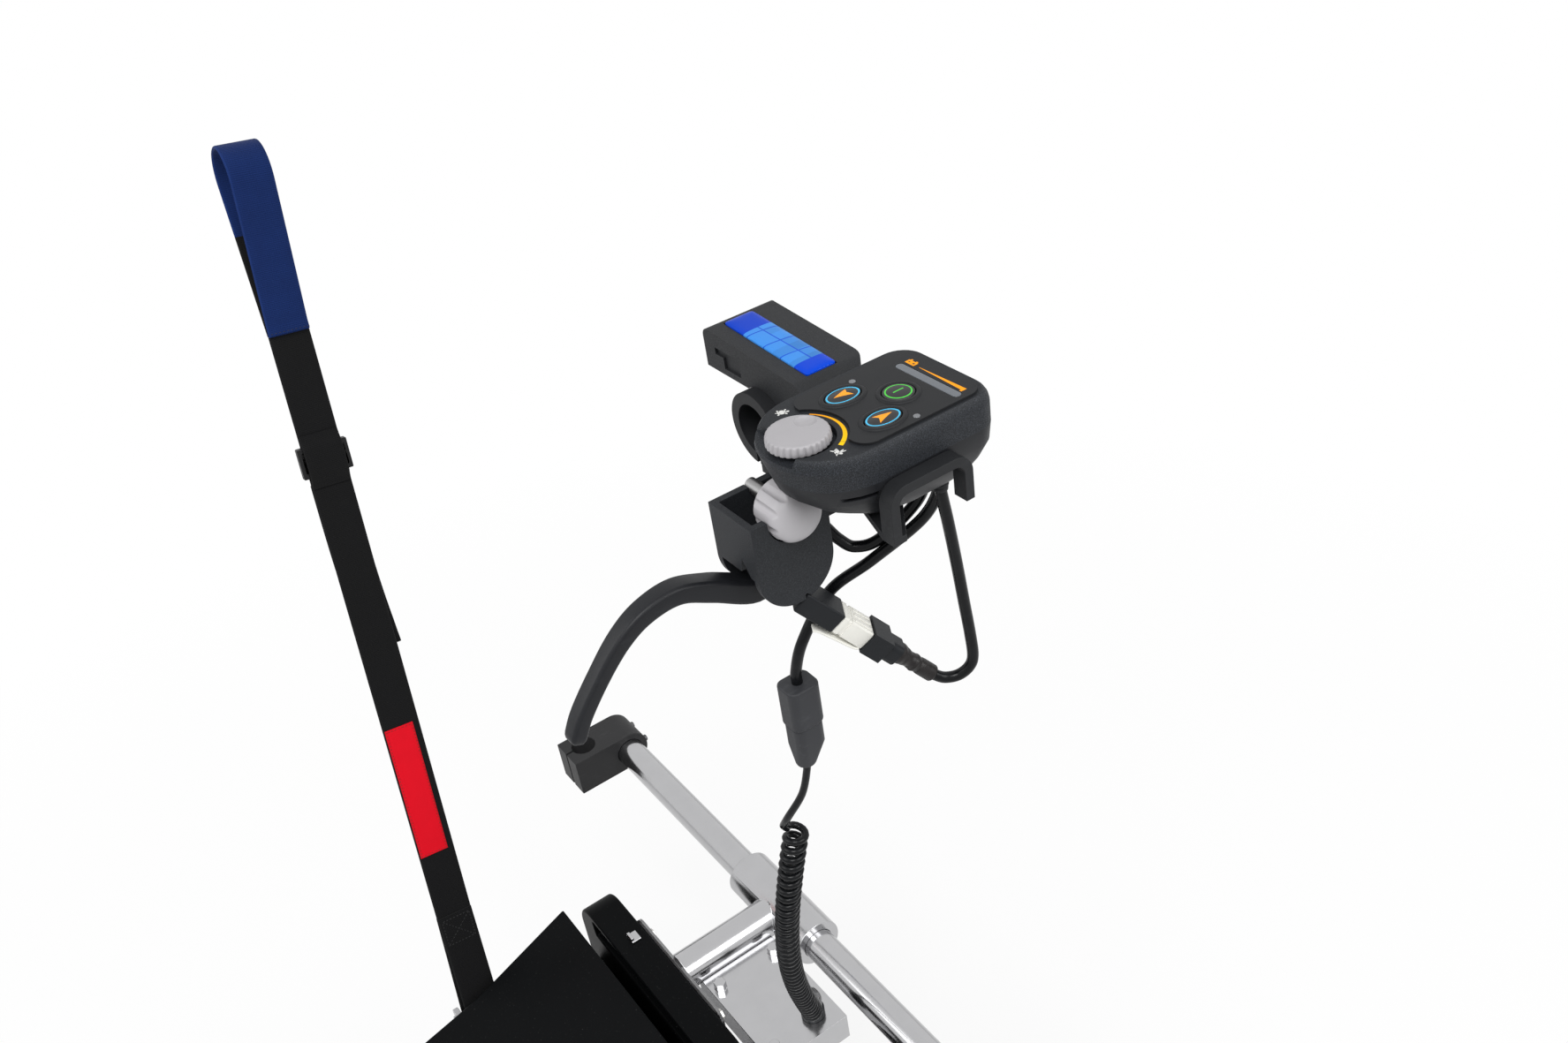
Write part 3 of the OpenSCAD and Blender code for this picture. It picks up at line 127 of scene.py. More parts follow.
class HeadSizes(bpy.types.PropertyGroup):
    key_crown: length("Key crown", "Height of a key's crown over its rim", 0.55)
    surround_rise: length("Surround rise", "Height of the embossed oval round a key", 0.6)
    surround_width: length("Surround width", "Width of the embossed oval round a key", 1.75)
    label_crown: length("Label crown", "Height of the label's resin crown over the roof", 1.15)
    orange: colour("Orange print", "Arrows, gauge wedge and slow end of the dial's arc", 250, 160, 20)
    yellow: colour("Yellow print", "Fast end of the dial's arc", 255, 205, 10)
    cyan: colour("Cyan print", "Rings on the direction keys", 70, 190, 235)
    green: colour("Green print", "Ring and bar on the power key", 70, 200, 60)
    white: colour("White print", "Slow and fast marks", 235, 235, 232)
    dial_grey: colour("Dial grey", "Dial and hand knob", 163, 161, 164)
    label_deep: colour("Label blue", "Ends of the label", 0, 58, 182)
    label_light: colour("Label light blue", "Blocks in the label's middle", 62, 138, 220)


class CordSizes(bpy.types.PropertyGroup):
    sheath: length("Cable diameter", "Diameter of the sheathed cables", 5.0, 3, 8)
    lead: length("Lead diameter", "Diameter of the coiled lead", 3.6, 2, 5)
    coil: length("Coil width", "Outside diameter of the coil", 13.0, 9, 18)
    turns: number("Curls", "Number of curls", 40, 20, 60)
    black: colour("Sheath black", "Colour of the cables and the lead", 15, 16, 18)


class StrapSizes(bpy.types.PropertyGroup):
    width: length("Webbing width", "Width of the strap", 28.0, 15, 40)
    thick: length("Webbing thickness", "Thickness of the strap", 2.4, 1, 4)
    patch_width: length("Patch width", "Width of the sewn patch", 22.0, 10, 27)
    stitch: length("Stitch length", "Length of one stitch", 2.2, 1, 4)
    navy: colour("Navy", "Webbing of the upper loop", 17, 40, 92)
    black: colour("Black", "Webbing of the strap", 17, 17, 18)
    red: colour("Red", "Sewn patch", 222, 0, 28)


class DriveSizes(bpy.types.PropertyGroup):
    bolt: length("Bolt head", "Across a hexagon head's corners", 9.0, 4, 16)
    screw: length("Screw head", "Diameter of a socket screw's head", 6.0, 3, 12)
    fins: number("Motor fins", "Cooling fins on the motor", 7, 3, 12)
    tread: number("Tread blocks", "Tread blocks round a tyre's shoulder", 48, 24, 72)
    case: colour("Case", "Battery case and dock", 9, 10, 11)


class StageSizes(bpy.types.PropertyGroup):
    eye: bpy.props.FloatVectorProperty(
        name="Camera place", description="Where the camera stands", size=3,
        default=(0.435277, -0.249972, 0.290557), subtype="TRANSLATION", unit="LENGTH")
    azimuth: degrees("Azimuth", "Camera's turn about the upright", 59.423)
    pitch: degrees("Pitch", "How far the camera looks down", 33.88)
    roll: degrees("Roll", "Camera's roll about its own line", -8.846)
    lens: amount("Lens", "Focal length in mm on a 36 mm frame", 32.83, 10)
    sky: amount("Sky", "Strength of the even light", 0.34)
    sun: amount("Sun", "Strength of the soft main lamp", 1.75)
    glow: amount("Floor white", "Share of plain white in the floor near the part, as it is seen", 0.8, 0, 1)
    floor: colour("Floor", "Colour of the floor", 246, 246, 246)


# shader writing

def feed(tree, socket, value):
    """Links a socket to another one, or writes a constant on it."""
    value = value.socket if isinstance(value, Val) else value
    if isinstance(value, bpy.types.NodeSocket):
        tree.links.new(value, socket)
    elif socket.type == "RGBA" and len(value) == 3:
        socket.default_value = (*value, 1)
    else:
        socket.default_value = value


def add_node(tree, kind, settings=None, sockets=None):
    """Adds one node: its settings first, then the values or links of its sockets."""
    made = tree.nodes.new(kind)
    for key, value in (settings or {}).items():
        setattr(made, key, value)
    for key, value in (sockets or {}).items():
        for one in value if isinstance(value, list) else [value]:
            feed(tree, made.inputs[key], one)
    return made


class Val:
    """A value on a socket; arithmetic on it adds Math nodes to its look."""

    def __init__(self, look, socket):
        self.look, self.socket = look, socket

    def math(self, kind, *others, clamp=False):
        return self.look.node("Math", {"operation": kind, "use_clamp": clamp},
                              dict(enumerate((self, *others))))

    def __add__(self, other):
        return self.math("ADD", other)

    __radd__ = __add__

    def __sub__(self, other):
        return self.math("SUBTRACT", other)

    def __rsub__(self, other):
        return self.look.node("Math", {"operation": "SUBTRACT"}, {0: other, 1: self})

    def __mul__(self, other):
        return self.math("MULTIPLY", other)

    __rmul__ = __mul__

    def __abs__(self):
        return self.math("ABSOLUTE")

    def low(self, other):
        return self.math("MINIMUM", other)

    def high(self, other):
        return self.math("MAXIMUM", other)

    def over(self, edge, soft=0.08):
        """1 over the edge and 0 under it, with a soft step."""
        return (self - edge).math("MULTIPLY_ADD", 1 / soft, 0.5, clamp=True)

    def under(self, edge, soft=0.08):
        """1 under the edge and 0 over it, with a soft step."""
        return (self - edge).math("MULTIPLY_ADD", -1 / soft, 0.5, clamp=True)

    def near(self, middle, half, soft=0.08):
        """1 within half of the middle."""
        return abs(self - middle).under(half, soft)

    def wave(self, pitch):
        """Runs between 0 and 1 once each pitch."""
        return (self * (2 * math.pi / pitch)).math("SINE") * 0.5 + 0.5

    def away(self, other):
        """Distance from (0, 0) of the point (self, other)."""
        return (self * self + other * other).math("SQRT")


class Look:
    """One procedural finish, written node by node; lengths are in mm."""

    def __init__(self, name):
        self.material = bpy.data.materials.new(name)
        self.material.use_nodes = True
        self.tree = self.material.node_tree
        self.shader = self.tree.nodes["Principled BSDF"]
        self.at = None

    def node(self, kind, settings=None, sockets=None, out=0):
        return Val(self, add_node(self.tree, "ShaderNode" + kind, settings, sockets).outputs[out])

    def place(self):
        """Object coordinates in mm."""
        if self.at is None:
            self.at = self.node("VectorMath", {"operation": "SCALE"},
                                {0: self.node("TexCoord", out="Object"), "Scale": 1 / MM})
        return self.at

    def along(self, middle=(0, 0, 0)):
        """x, y and z from a point of the part."""
        vector = self.node("VectorMath", {"operation": "SUBTRACT"}, {0: self.place(), 1: middle})
        return [self.node("SeparateXYZ", None, {0: vector}, out=i) for i in range(3)]

    def run(self):
        """Place on the piece's own map: across and along, in mm."""
        vector = self.node("TexCoord", out="UV")
        return [self.node("SeparateXYZ", None, {0: vector}, out=i) for i in range(2)]

    def noise(self, size, detail=2.0, stretch=None, rough=0.5):
        vector = self.place()
        if stretch:
            vector = self.node("Mapping", None, {0: vector, "Scale": stretch})
        return self.node("TexNoise", None, {"Vector": vector, "Scale": 1 / size, "Detail": detail,
                                            "Roughness": rough})

    def cells(self, size):
        return self.node("TexVoronoi", None, {"Vector": self.place(), "Scale": 1 / size})

    def mix(self, share, first, second):
        return self.node("Mix", {"data_type": "RGBA"}, {0: share, 6: first, 7: second}, out=2)

    def layers(self, base, *prints):
        """Prints laid one after another over a base colour, each a (mask, colour)."""
        for mask, rgb in prints:
            base = self.mix(mask, base, rgb)
        return base

    def shade(self, share, rgb, k):
        """A colour that runs to k times itself."""
        return self.mix(share, rgb, times(rgb, k))

    def done(self, base, rough, bump=None, depth=1.0, **constants):
        """Feeds the shader and gives the finished material."""
        sockets = {"Base Color": base, "Roughness": rough, **constants}
        if bump is not None:
            sockets["Normal"] = self.node("Bump", None, {"Height": bump, "Strength": depth, "Distance": MM})
        for key, value in sockets.items():
            feed(self.tree, self.shader.inputs[key.replace("_", " ")], value)
        return self.material


LOOKS = {}


def look(name, write, *values):
    """A finish by name, written the first time that it is asked for."""
    if name not in LOOKS:
        LOOKS[name] = write(Look(name), *values)
    return LOOKS[name]


def times(rgb, share):
    """A darker or lighter colour, never past full."""
    return tuple(min(1.0, c * share) for c in rgb)


# finishes: moulded plastics

def spark_grain(m, base):
    """Grain, smudges and smudged base of a spark-eroded moulding."""
    grain, smudge = m.noise(0.34, 3.0, rough=0.65), m.noise(24, 2.0)
    return grain, smudge, m.shade(smudge.over(0.52, 0.5) * 0.5, base, 1.25)


def spark_shell(m, base, speck):
    """Spark-eroded moulding: fine bright specks on black, with a few broad smudges."""
    grain, smudge, tint = spark_grain(m, base)
    specks = grain.over(0.58, 0.24)
    return m.done(m.mix(specks * 0.32, tint, speck), 0.58 - specks * 0.2 + smudge * 0.06, grain, 0.14,
                  Specular_IOR_Level=0.22)


def fine_shell(m, base, rough=0.5):
    """Finely etched moulding with soft handling marks."""
    grain, smudge, rub = m.noise(0.45, 2.0), m.noise(18, 3.0), m.noise(3.0, 4.0, (1, 0.25, 1))
    marks = rub.over(0.66, 0.1) * 0.4
    tint = m.shade(smudge.over(0.5, 0.5) * 0.45, base, 1.35)
    return m.done(m.mix(marks, tint, times(base, 1.7)), rough + (smudge - 0.5) * 0.16 - marks * 0.1,
                  grain * 0.6 + smudge, 0.05, Specular_IOR_Level=0.2)


def printed_shell(m, base, speck, head):
    """The deck's moulding with the dial's tapered arc on its top face."""
    grain, smudge, tint = spark_grain(m, base)
    x, y, z = m.along((*DIAL, 0))
    deck = z.over(DECK - 0.15, 0.05)
    specks = grain.over(0.58, 0.24) * (1 - deck * 0.7)
    turn = y.math("ARCTAN2", x) * (180 / math.pi)
    part = (turn - 27) * (1 / 103)
    arc = x.away(y).near(16.8, 0.97 - part * 0.7, 0.12) * turn.near(78.5, 51.5, 0.6) * deck
    ticks = turn.near(35.5, 0.55, 0.5) + turn.near(33.3, 0.3, 0.4)
    hue = m.mix(part.over(0.55, 0.8), head.yellow, head.orange)
    body = m.mix(specks * 0.38, tint, speck)
    return m.done(m.mix(arc * (1 - ticks * 0.55), body, hue), 0.56 - specks * 0.2 + smudge * 0.06,
                  grain * (1 - deck * 0.5), 0.14, Specular_IOR_Level=0.22)


def panel_film(m, base, head):
    """Matt overlay film with the charge wedge and its cell mark."""
    grain, smudge = m.noise(0.35, 2.0), m.noise(15, 2.0)
    x, y, z = m.along((56.0, 43.0, 0))
    top = z.over(FILM - 0.1, 0.05)
    run = x * (1 / 25.7)
    wedge = (y - run * 0.1).near(0.05, 0.1 + run * 0.85, 0.14) * x.near(12.85, 12.85, 0.2)
    foot = x.near(25.1, 0.55, 0.15) * y.near(-0.7, 0.85, 0.15)
    u, v, _ = m.along((50.9, 43.7, 0))
    cell = u.near(0, 2.6, 0.15) * v.near(-0.2, 1.25, 0.15)
    ends = abs(u).near(1.45, 0.5, 0.15) * v.near(1.25, 0.45, 0.15)
    minus = abs(u).near(1.25, 0.62, 0.12) * v.near(-0.2, 0.22, 0.12)
    signs = minus + u.near(1.25, 0.2, 0.12) * v.near(-0.2, 0.62, 0.12)
    ink = wedge.high(foot).high(cell.high(ends) * (1 - signs.low(1))) * top
    tint = m.shade(smudge, base, 1.3)
    return m.done(m.mix(ink, tint, head.orange), 0.52 + (smudge - 0.5) * 0.14, grain, 0.03,
                  Specular_IOR_Level=0.2)


def key_rubber(m, base, *prints):
    """Matt rubber of a key under its prints."""
    grain = m.noise(0.4, 2.0)
    return m.done(m.layers(m.shade(grain, base, 1.35), *prints), 0.5 + (grain - 0.5) * 0.12, grain, 0.03)


def arrow_key(m, base, head, middle, forward):
    """Rubber key with an oval ring and a notched arrowhead."""
    x, y, _ = m.along((*middle, 0))
    ring = (x * (1 / 4.6)).away(y * (1 / 6.75)).near(1.0, 0.05, 0.03)
    ahead, aside = y * (1 if forward else -1), abs(x)
    arrow = (aside - (4.2 - ahead) * 0.351).under(0, 0.16) * (ahead + aside * 0.54).over(-1.8, 0.16)
    return key_rubber(m, base, (ring, head.cyan), (arrow, head.orange))


def power_key(m, base, head):
    """Rubber key with a round ring and a bar."""
    x, y, _ = m.along((*POWER_KEY, 0))
    bar = abs(x).under(0.3, 0.14) * abs(y).under(2.4, 0.14)
    return key_rubber(m, base, (x.away(y).near(4.95, 0.29, 0.14).high(bar), head.green))


def smoked_lens(m, base, pitch):
    """Clear-coated smoked window with the dim lamps behind it showing."""
    x, _, _ = m.along((*GAUGE, 0))
    lamps, haze = x.wave(pitch), m.noise(6, 2.0)
    tint = m.shade(lamps * 0.1 + haze * 0.3, base, 1.5)
    return m.done(tint, 0.18 + haze * 0.12, Coat_Weight=0.6, Coat_Roughness=0.08)


def resin_label(m, head):
    """Glossy resin over a printed band: deep ends, lighter blocks between thin gaps."""
    x, y, _ = m.along((LABEL[0], LABEL[1], 0))
    middle = x.near(3.0, 17.5, 0.25)
    gaps = (x + 11 - y * 0.12).math("PINGPONG", 5.8).under(0.32, 0.2)
    lines = gaps.high(y.near(0.6 + x * 0.03, 0.28, 0.16))
    fall = (x * (1 / 58) + 0.5).math("MULTIPLY_ADD", 1.0, 0.0, clamp=True)
    tile = (x * 0.173).math("FLOOR").math("MODULO", 2) * 0.35 + y.over(0.6, 0.2) * 0.3
    bright = m.shade(tile, head.label_light, 0.62)
    ends = m.shade(fall, head.label_deep, 1.25)
    dust = m.noise(2.2, 3.0).over(0.7, 0.08) * 0.06
    return m.done(m.mix(middle * (1 - lines * 0.85), ends, bright), 0.12 + dust,
                  Specular_IOR_Level=0.1)


def grey_moulding(m, base, scuffs=0.5):
    """Light grey moulding with hairline scuffs."""
    grain, broad = m.noise(0.4, 2.0), m.noise(9, 3.0)
    hair = m.noise(1.2, 5.0, (1, 6, 2)).over(0.66, 0.06) * scuffs
    tint = m.shade(broad.over(0.5, 0.6) * 0.4, base, 0.88)
    return m.done(m.mix(hair * 0.5, tint, times(base, 0.72)), 0.42 + (broad - 0.5) * 0.14 + hair * 0.1,
                  grain * 0.5 + hair, 0.05, Specular_IOR_Level=0.5)


def nylon(m, base):
    """Milky moulding with faint flow lines."""
    haze, flow = m.noise(4, 2.0), m.noise(1.4, 2.0, (1, 0.3, 1))
    return m.done(m.shade(haze * 0.5, base, 0.86), 0.34 + flow * 0.14, flow, 0.04,
                  Specular_IOR_Level=0.3)


def case_moulding(m, base):
    """Battery case: smooth satin black with a faint orange-peel and dust."""
    peel, broad = m.noise(1.6, 2.0), m.noise(60, 3.0)
    dust = m.noise(1.1, 3.0).over(0.71, 0.05) * 0.25
    tint = m.shade(broad, base, 1.4)
    return m.done(m.mix(dust, tint, (0.12, 0.12, 0.115)), 0.34 + broad * 0.12 + dust * 0.2, peel, 0.03,
                  Specular_IOR_Level=0.04)


# finishes: cords and webbing

def glossy_sheath(m, base):
    """Extruded sheath: glossy, with faint ripples along its run and smears of dust."""
    _, along = m.run()
    ripple = along.wave(3.1) * 0.5 + along.wave(7.7) * 0.5
    smear = m.noise(5, 3.0)
    return m.done(m.shade(smear.over(0.6, 0.3) * 0.4, base, 2.2), 0.16 + smear * 0.12, ripple, 0.02,
                  Specular_IOR_Level=0.16)


def shrink_tube(m, base):
    """Shrunk sleeve: fine folds over broad ones."""
    folds, fine = m.noise(3.2, 4.0, (1, 1, 0.5)), m.noise(0.6, 2.0)
    return m.done(m.shade(folds, base, 2.0), 0.26 + folds * 0.16, folds + fine * 0.1, 0.3,
                  Specular_IOR_Level=0.25)


def webbing(m, base, pitch=1.25):
    """Ribbed weave: ribs across the strap, warp bundles along it, plain selvedges, with painted shade in
    the grooves.
    """
    across, along = m.run()
    fuzz, worn = m.noise(0.5, 3.0), m.noise(14, 3.0)
    ribs = along.wave(pitch)
    warp = (across + along.wave(pitch * 2) * 0.35).wave(1.5)
    plain = abs(across).over(12.8, 0.5)
    height = (ribs * 0.75 + warp * 0.25) * (1 - plain * 0.6) + fuzz * 0.25
    tint = m.shade(worn.over(0.52, 0.5) * 0.5, base, 1.3)
    # painted shade: the grooves between the ribs, and less so between the warp bundles, are darkened; the
    # selvedges get less of it
    return m.done(m.mix((1 - ribs) * 0.45 * (1 - plain) + (1 - warp) * 0.12, tint, times(base, 0.35)),
                  0.86 - ribs * 0.1 + fuzz * 0.08, height, 0.2, Sheen_Weight=0.05, Sheen_Roughness=0.5,
                  Specular_IOR_Level=0.12)


def satin_patch(m, base):
    """Plain sewn patch: fine even weave, with painted shade darkening its turned edge."""
    across, along = m.run()
    weave = along.wave(0.55) * 0.5 + across.wave(0.55) * 0.5
    # rim is the band along the turned edge, painted darker as shade
    soft, rim = m.noise(10, 2.0), abs(across).over(10.4, 0.3)
    tint = m.shade(soft * 0.4, base, 0.8)
    return m.done(m.mix(rim * 0.5, tint, times(base, 0.5)), 0.72 + weave * 0.12, weave, 0.05,
                  Sheen_Weight=0.05, Sheen_Roughness=0.4, Specular_IOR_Level=0.2)


def thread(m, base):
    """Twisted yarn, and the deck's matt ink."""
    twist = m.noise(0.3, 2.0)
    return m.done(m.shade(twist, base, 0.6), 0.7 + twist * 0.15, twist, 0.1)


# finishes: metals, wheels and electrics

def metal(m, base, rough, lines=(1, 1, 1), wear=0.3):
    """Plated or machined metal with fine lines, smears and a few nicks."""
    fine, smear = m.noise(0.35, 3.0, lines), m.noise(16, 4.0)
    nick = m.noise(1.8, 4.0).over(0.72, 0.05) * wear
    tint = m.shade(smear * 0.5, base, 0.82)
    worn = rough + (smear - 0.4) * 0.14 + fine * 0.05 + nick * 0.2
    return m.done(m.mix(nick * 0.6, tint, times(base, 0.5)), worn, fine * 0.4 + nick, 0.02, Metallic=1.0)


def cast_alloy(m, base):
    """Sand-grained casting."""
    grain, broad = m.noise(0.9, 4.0, rough=0.7), m.noise(20, 3.0)
    return m.done(m.shade(broad, base, 0.7), 0.5 + grain * 0.15, grain, 0.12, Metallic=0.85)


def tyre_rubber(m, base):
    """Dull rubber with dust on the tread."""
    _, y, z = m.along((0, *AXLE))
    dust, grain = m.noise(9, 4.0), m.noise(0.7, 3.0)
    band = y.away(z).over(93, 2.0)
    return m.done(m.mix(band * dust.over(0.45, 0.3) * 0.6, base, (0.09, 0.085, 0.08)),
                  0.8 - band * 0.1 + grain * 0.1, grain, 0.1)


def board_mask(m, base):
    """Circuit board: tracks and solder spots under its mask."""
    tracks, spots = m.noise(2.0, 1.0, (1, 0.1, 1)), m.cells(3.0)
    copper = tracks.near(0.5, 0.02, 0.02)
    tint = m.layers(base, (copper * 0.6, times(base, 2.5)), (spots.under(0.16, 0.04), (0.5, 0.45, 0.3)))
    return m.done(tint, 0.35 + tracks * 0.1, copper, 0.03)


def cell_wrap(m, base):
    """Creased film round the cells, with a printed band."""
    _, _, z = m.along((0, 0, -700))
    band, crease = z.near(0, 8, 0.6), m.noise(7, 3.0)
    return m.done(m.shade(band, base, 0.45), 0.3 + crease * 0.15, crease, 0.12)


# mesh writing

def put(name, data):
    """A new object in the scene."""
    made = bpy.data.objects.new(name, data)
    bpy.context.scene.collection.objects.link(made)
    return made


def smooth(data, sharp):
    """Smooth shading with sharp edges over an angle in degrees."""
    data.shade_smooth()
    data.set_sharp_from_angle(angle=math.radians(sharp))


class Shape:
    """Rings of points in mm joined into walls, gathered into one mesh."""

    def __init__(self):
        self.points, self.faces, self.maps = [], [], []

    def loft(self, rings, band=False, us=None, vs=None):
        """Walls from ring to ring, capped at both ends, or led back to the first ring as a band."""
        first, n = len(self.points), len(rings[0])
        us = us + us[:1] if us else [j / n for j in range(n + 1)]
        vs = vs + vs[-1:] if vs else list(range(len(rings) + 1))
        for ring in rings:
            self.points += [Vector(p) for p in ring]
        for i in range(len(rings) if band else len(rings) - 1):
            low, high = first + i * n, first + (i + 1) % len(rings) * n
            for j in range(n):
                k = (j + 1) % n
                self.faces.append((low + j, low + k, high + k, high + j))
                left, right, near, far = us[j], us[j + 1], vs[i], vs[i + 1]
                self.maps += [(left, near), (right, near), (right, far), (left, far)]
        if not band:
            for i, order in ((0, range(n)[::-1]), (len(rings) - 1, range(n))):
                self.faces.append(tuple(first + i * n + j for j in order))
                self.maps += [(us[j], vs[i]) for j in order]
        return self

    def piece(self, name, finish, sharp=38.0):
        """One object at the origin with its place in its mesh."""
        data = bpy.data.meshes.new(name)
        data.from_pydata([p * MM for p in self.points], [], self.faces)
        layer = data.uv_layers.new(name="run")
        for corner, uv in zip(layer.data, self.maps):
            corner.uv = uv
        whole = bmesh.new()
        whole.from_mesh(data)
        bmesh.ops.recalc_face_normals(whole, faces=whole.faces)
        whole.to_mesh(data)
        whole.free()
        data.materials.append(finish)
        smooth(data, sharp)
        return put(name, data)


def moved(points, matrix):
    """Points laid in another place."""
    return [matrix @ Vector(p) for p in points]


def angles(n):
    """Even angles once round."""
    return [2 * math.pi * j / n for j in range(n)]


def oval(w, long, inset, z, middle, n=48):
    """Ellipse along Y, drawn in from its edge."""
    x, y = w / 2 - inset, long / 2 - inset
    return [Vector((middle[0] + x * math.cos(a), middle[1] + y * math.sin(a), z)) for a in angles(n)]


def circle(r, n, z=0.0, middle=(0, 0)):
    """Round ring of n points."""
    return oval(2 * r, 2 * r, 0, z, middle, n)


def round_rect(hx, hy, r, z=0.0, n=6):
    """Rectangle of half sides hx and hy with round corners."""
    out = []
    for k, (sx, sy) in enumerate(((1, 1), (-1, 1), (-1, -1), (1, -1))):
        for j in range(n + 1):
            a = math.pi / 2 * (k + j / n)
            out.append(Vector((sx * (hx - r) + r * math.cos(a), sy * (hy - r) + r * math.sin(a), z)))
    return out


def curve_at(p, i, f):
    """Point of the smooth curve through a route, between its points i and i + 1."""
    last = len(p) - 1
    a, b, c, d = p[max(i - 1, 0)], p[i], p[min(i + 1, last)], p[min(i + 2, last)]
    return 0.5 * (2 * b + f * (c - a) + f * f * (2 * a - 5 * b + 4 * c - d)
                  + f * f * f * (3 * b - a - 3 * c + d))


def curve(p, steps, first=0, last=None):
    """Smooth curve through a route, from its point first to its point last."""
    last = len(p) - 1 if last is None else last
    return [curve_at(p, i, k / steps) for i in range(first, last) for k in range(steps)] + [p[last]]


def cable_run(points, steps=10):
    """A route with straight first and last legs."""
    p = [Vector(q) for q in points]
    return [p[0]] + curve(p, steps, 1, len(p) - 2) + [p[-1]]


def heading(path, i):
    """Direction of a path at one of its points."""
    return (path[min(i + 1, len(path) - 1)] - path[max(i - 1, 0)]).normalized()


def tube(path, r, sides):
    """Round wall along a path, in rings that never twist; its map runs on with the distance."""
    rings, at, normal, far = [], [], None, 0.0
    for i, p in enumerate(path):
        t = heading(path, i)
        if normal is None:
            normal = t.cross(RIGHT if abs(t.x) < 0.7 else Vector((0, 1, 0)))
        normal = (normal - normal.dot(t) * t).normalized()
        other = t.cross(normal)
        rings.append([p + r * (math.cos(a) * normal + math.sin(a) * other) for a in angles(sides)])
        far += (p - path[i - 1]).length if i else 0.0
        at.append(far)
    return Shape().loft(rings, vs=at)


def run_length(path):
    """Length of a path, in metres."""
    return sum((b - a).length for a, b in zip(path, path[1:])) * MM


# geometry trees for what repeats

class Grower:
    """A geometry tree with named inputs that turns seed points into one plain mesh."""

    def __init__(self, name, inputs):
        self.tree = bpy.data.node_groups.new(name, "GeometryNodeTree")
        face = self.tree.interface
        face.new_socket("Geometry", in_out="INPUT", socket_type="NodeSocketGeometry")
        for label, value in inputs.items():
            face.new_socket(label, in_out="INPUT", socket_type="NodeSocketFloat").default_value = value
        face.new_socket("Geometry", in_out="OUTPUT", socket_type="NodeSocketGeometry")
        self.inputs = self.tree.nodes.new("NodeGroupInput").outputs

    def node(self, kind, settings=None, sockets=None, out=0):
        return add_node(self.tree, kind, settings, sockets).outputs[out]

    def vector(self, x=0.0, y=0.0, z=0.0):
        return self.node("ShaderNodeCombineXYZ", None, {0: x, 1: y, 2: z})

    def scale(self, value, share):
        return self.node("ShaderNodeMath", {"operation": "MULTIPLY"}, {0: value, 1: share})

    def lift(self, geometry, offset, size=None):
        """Moves a shape, and scales it where a size is given."""
        sockets = {"Geometry": geometry, "Translation": offset}
        if size is not None:
            sockets["Scale"] = size
        return self.node("GeometryNodeTransform", None, sockets)

    def rod(self, sides, radius, deep, at=0.0):
        """Cylinder with its middle at a height."""
        made = self.node("GeometryNodeMeshCylinder", None,
                         {"Vertices": sides, "Radius": radius, "Depth": deep})
        return self.lift(made, self.vector(z=at))

    def cone(self, sides, low, high, deep, at=0.0):
        """Blunt cone that stands on a height."""
        made = self.node("GeometryNodeMeshCone", None,
                         {"Vertices": sides, "Radius Bottom": low, "Radius Top": high, "Depth": deep})
        return self.lift(made, self.vector(z=at))

    def seat(self, shape, finish):
        """Puts the shape on each seed point, turned as the point says, and ends the tree."""
        turn = self.node("GeometryNodeInputNamedAttribute", {"data_type": "FLOAT_VECTOR"}, {"Name": "turn"})
        spin = self.node("FunctionNodeEulerToRotation", None, {0: turn})
        seats = self.node("GeometryNodeInstanceOnPoints", None,
                          {"Points": self.inputs["Geometry"], "Instance": shape, "Rotation": spin})
        real = self.node("GeometryNodeRealizeInstances", None, {"Geometry": seats})
        done = self.node("GeometryNodeSetMaterial", None, {"Geometry": real, "Material": finish})
        end = self.tree.nodes.new("NodeGroupOutput")
        self.tree.links.new(done, end.inputs[0])
        return self

    def grow(self, name, seats):
        """Plain mesh object from seats, each a (place in mm, outward direction, lie direction)."""
        data = bpy.data.meshes.new(name)
        data.from_pydata([Vector(p) * MM for p, _, _ in seats], [], [])
        turns = data.attributes.new("turn", "FLOAT_VECTOR", "POINT")
        for item, (_, up, lie) in zip(turns.data, seats):
            z = Vector(up).normalized()
            x = Vector(lie)
            x = (x - x.dot(z) * z).normalized()
            item.vector = Matrix((x, z.cross(x), z)).transposed().to_euler()
        made = put(name, data)
        change = made.modifiers.new("seats", "NODES")
        change.node_group = self.tree
        ready = made.evaluated_get(bpy.context.evaluated_depsgraph_get())
        plain = bpy.data.meshes.new_from_object(ready)
        made.modifiers.remove(change)
        made.data = plain
        plain.name = name
        smooth(plain, 35)
        return made


def bolt_tree(finish, sizes):
    """Hexagon head on a washer, its upper corners eased."""
    g = Grower("hexagon bolts", {"Head": sizes.bolt / 2, "Height": sizes.bolt * 0.42})
    head, high = g.inputs["Head"], g.inputs["Height"]
    washer = g.rod(20, g.scale(head, 1.35), g.scale(high, 0.3), g.scale(high, 0.1))
    hexagon = g.rod(6, head, high, g.scale(high, 0.7))
    crown = g.cone(18, g.scale(head, 0.84), g.scale(head, 0.62), g.scale(high, 0.16), g.scale(high, 1.2))
    return g.seat(g.node("GeometryNodeJoinGeometry", None, {0: [washer, hexagon, crown]}), finish)


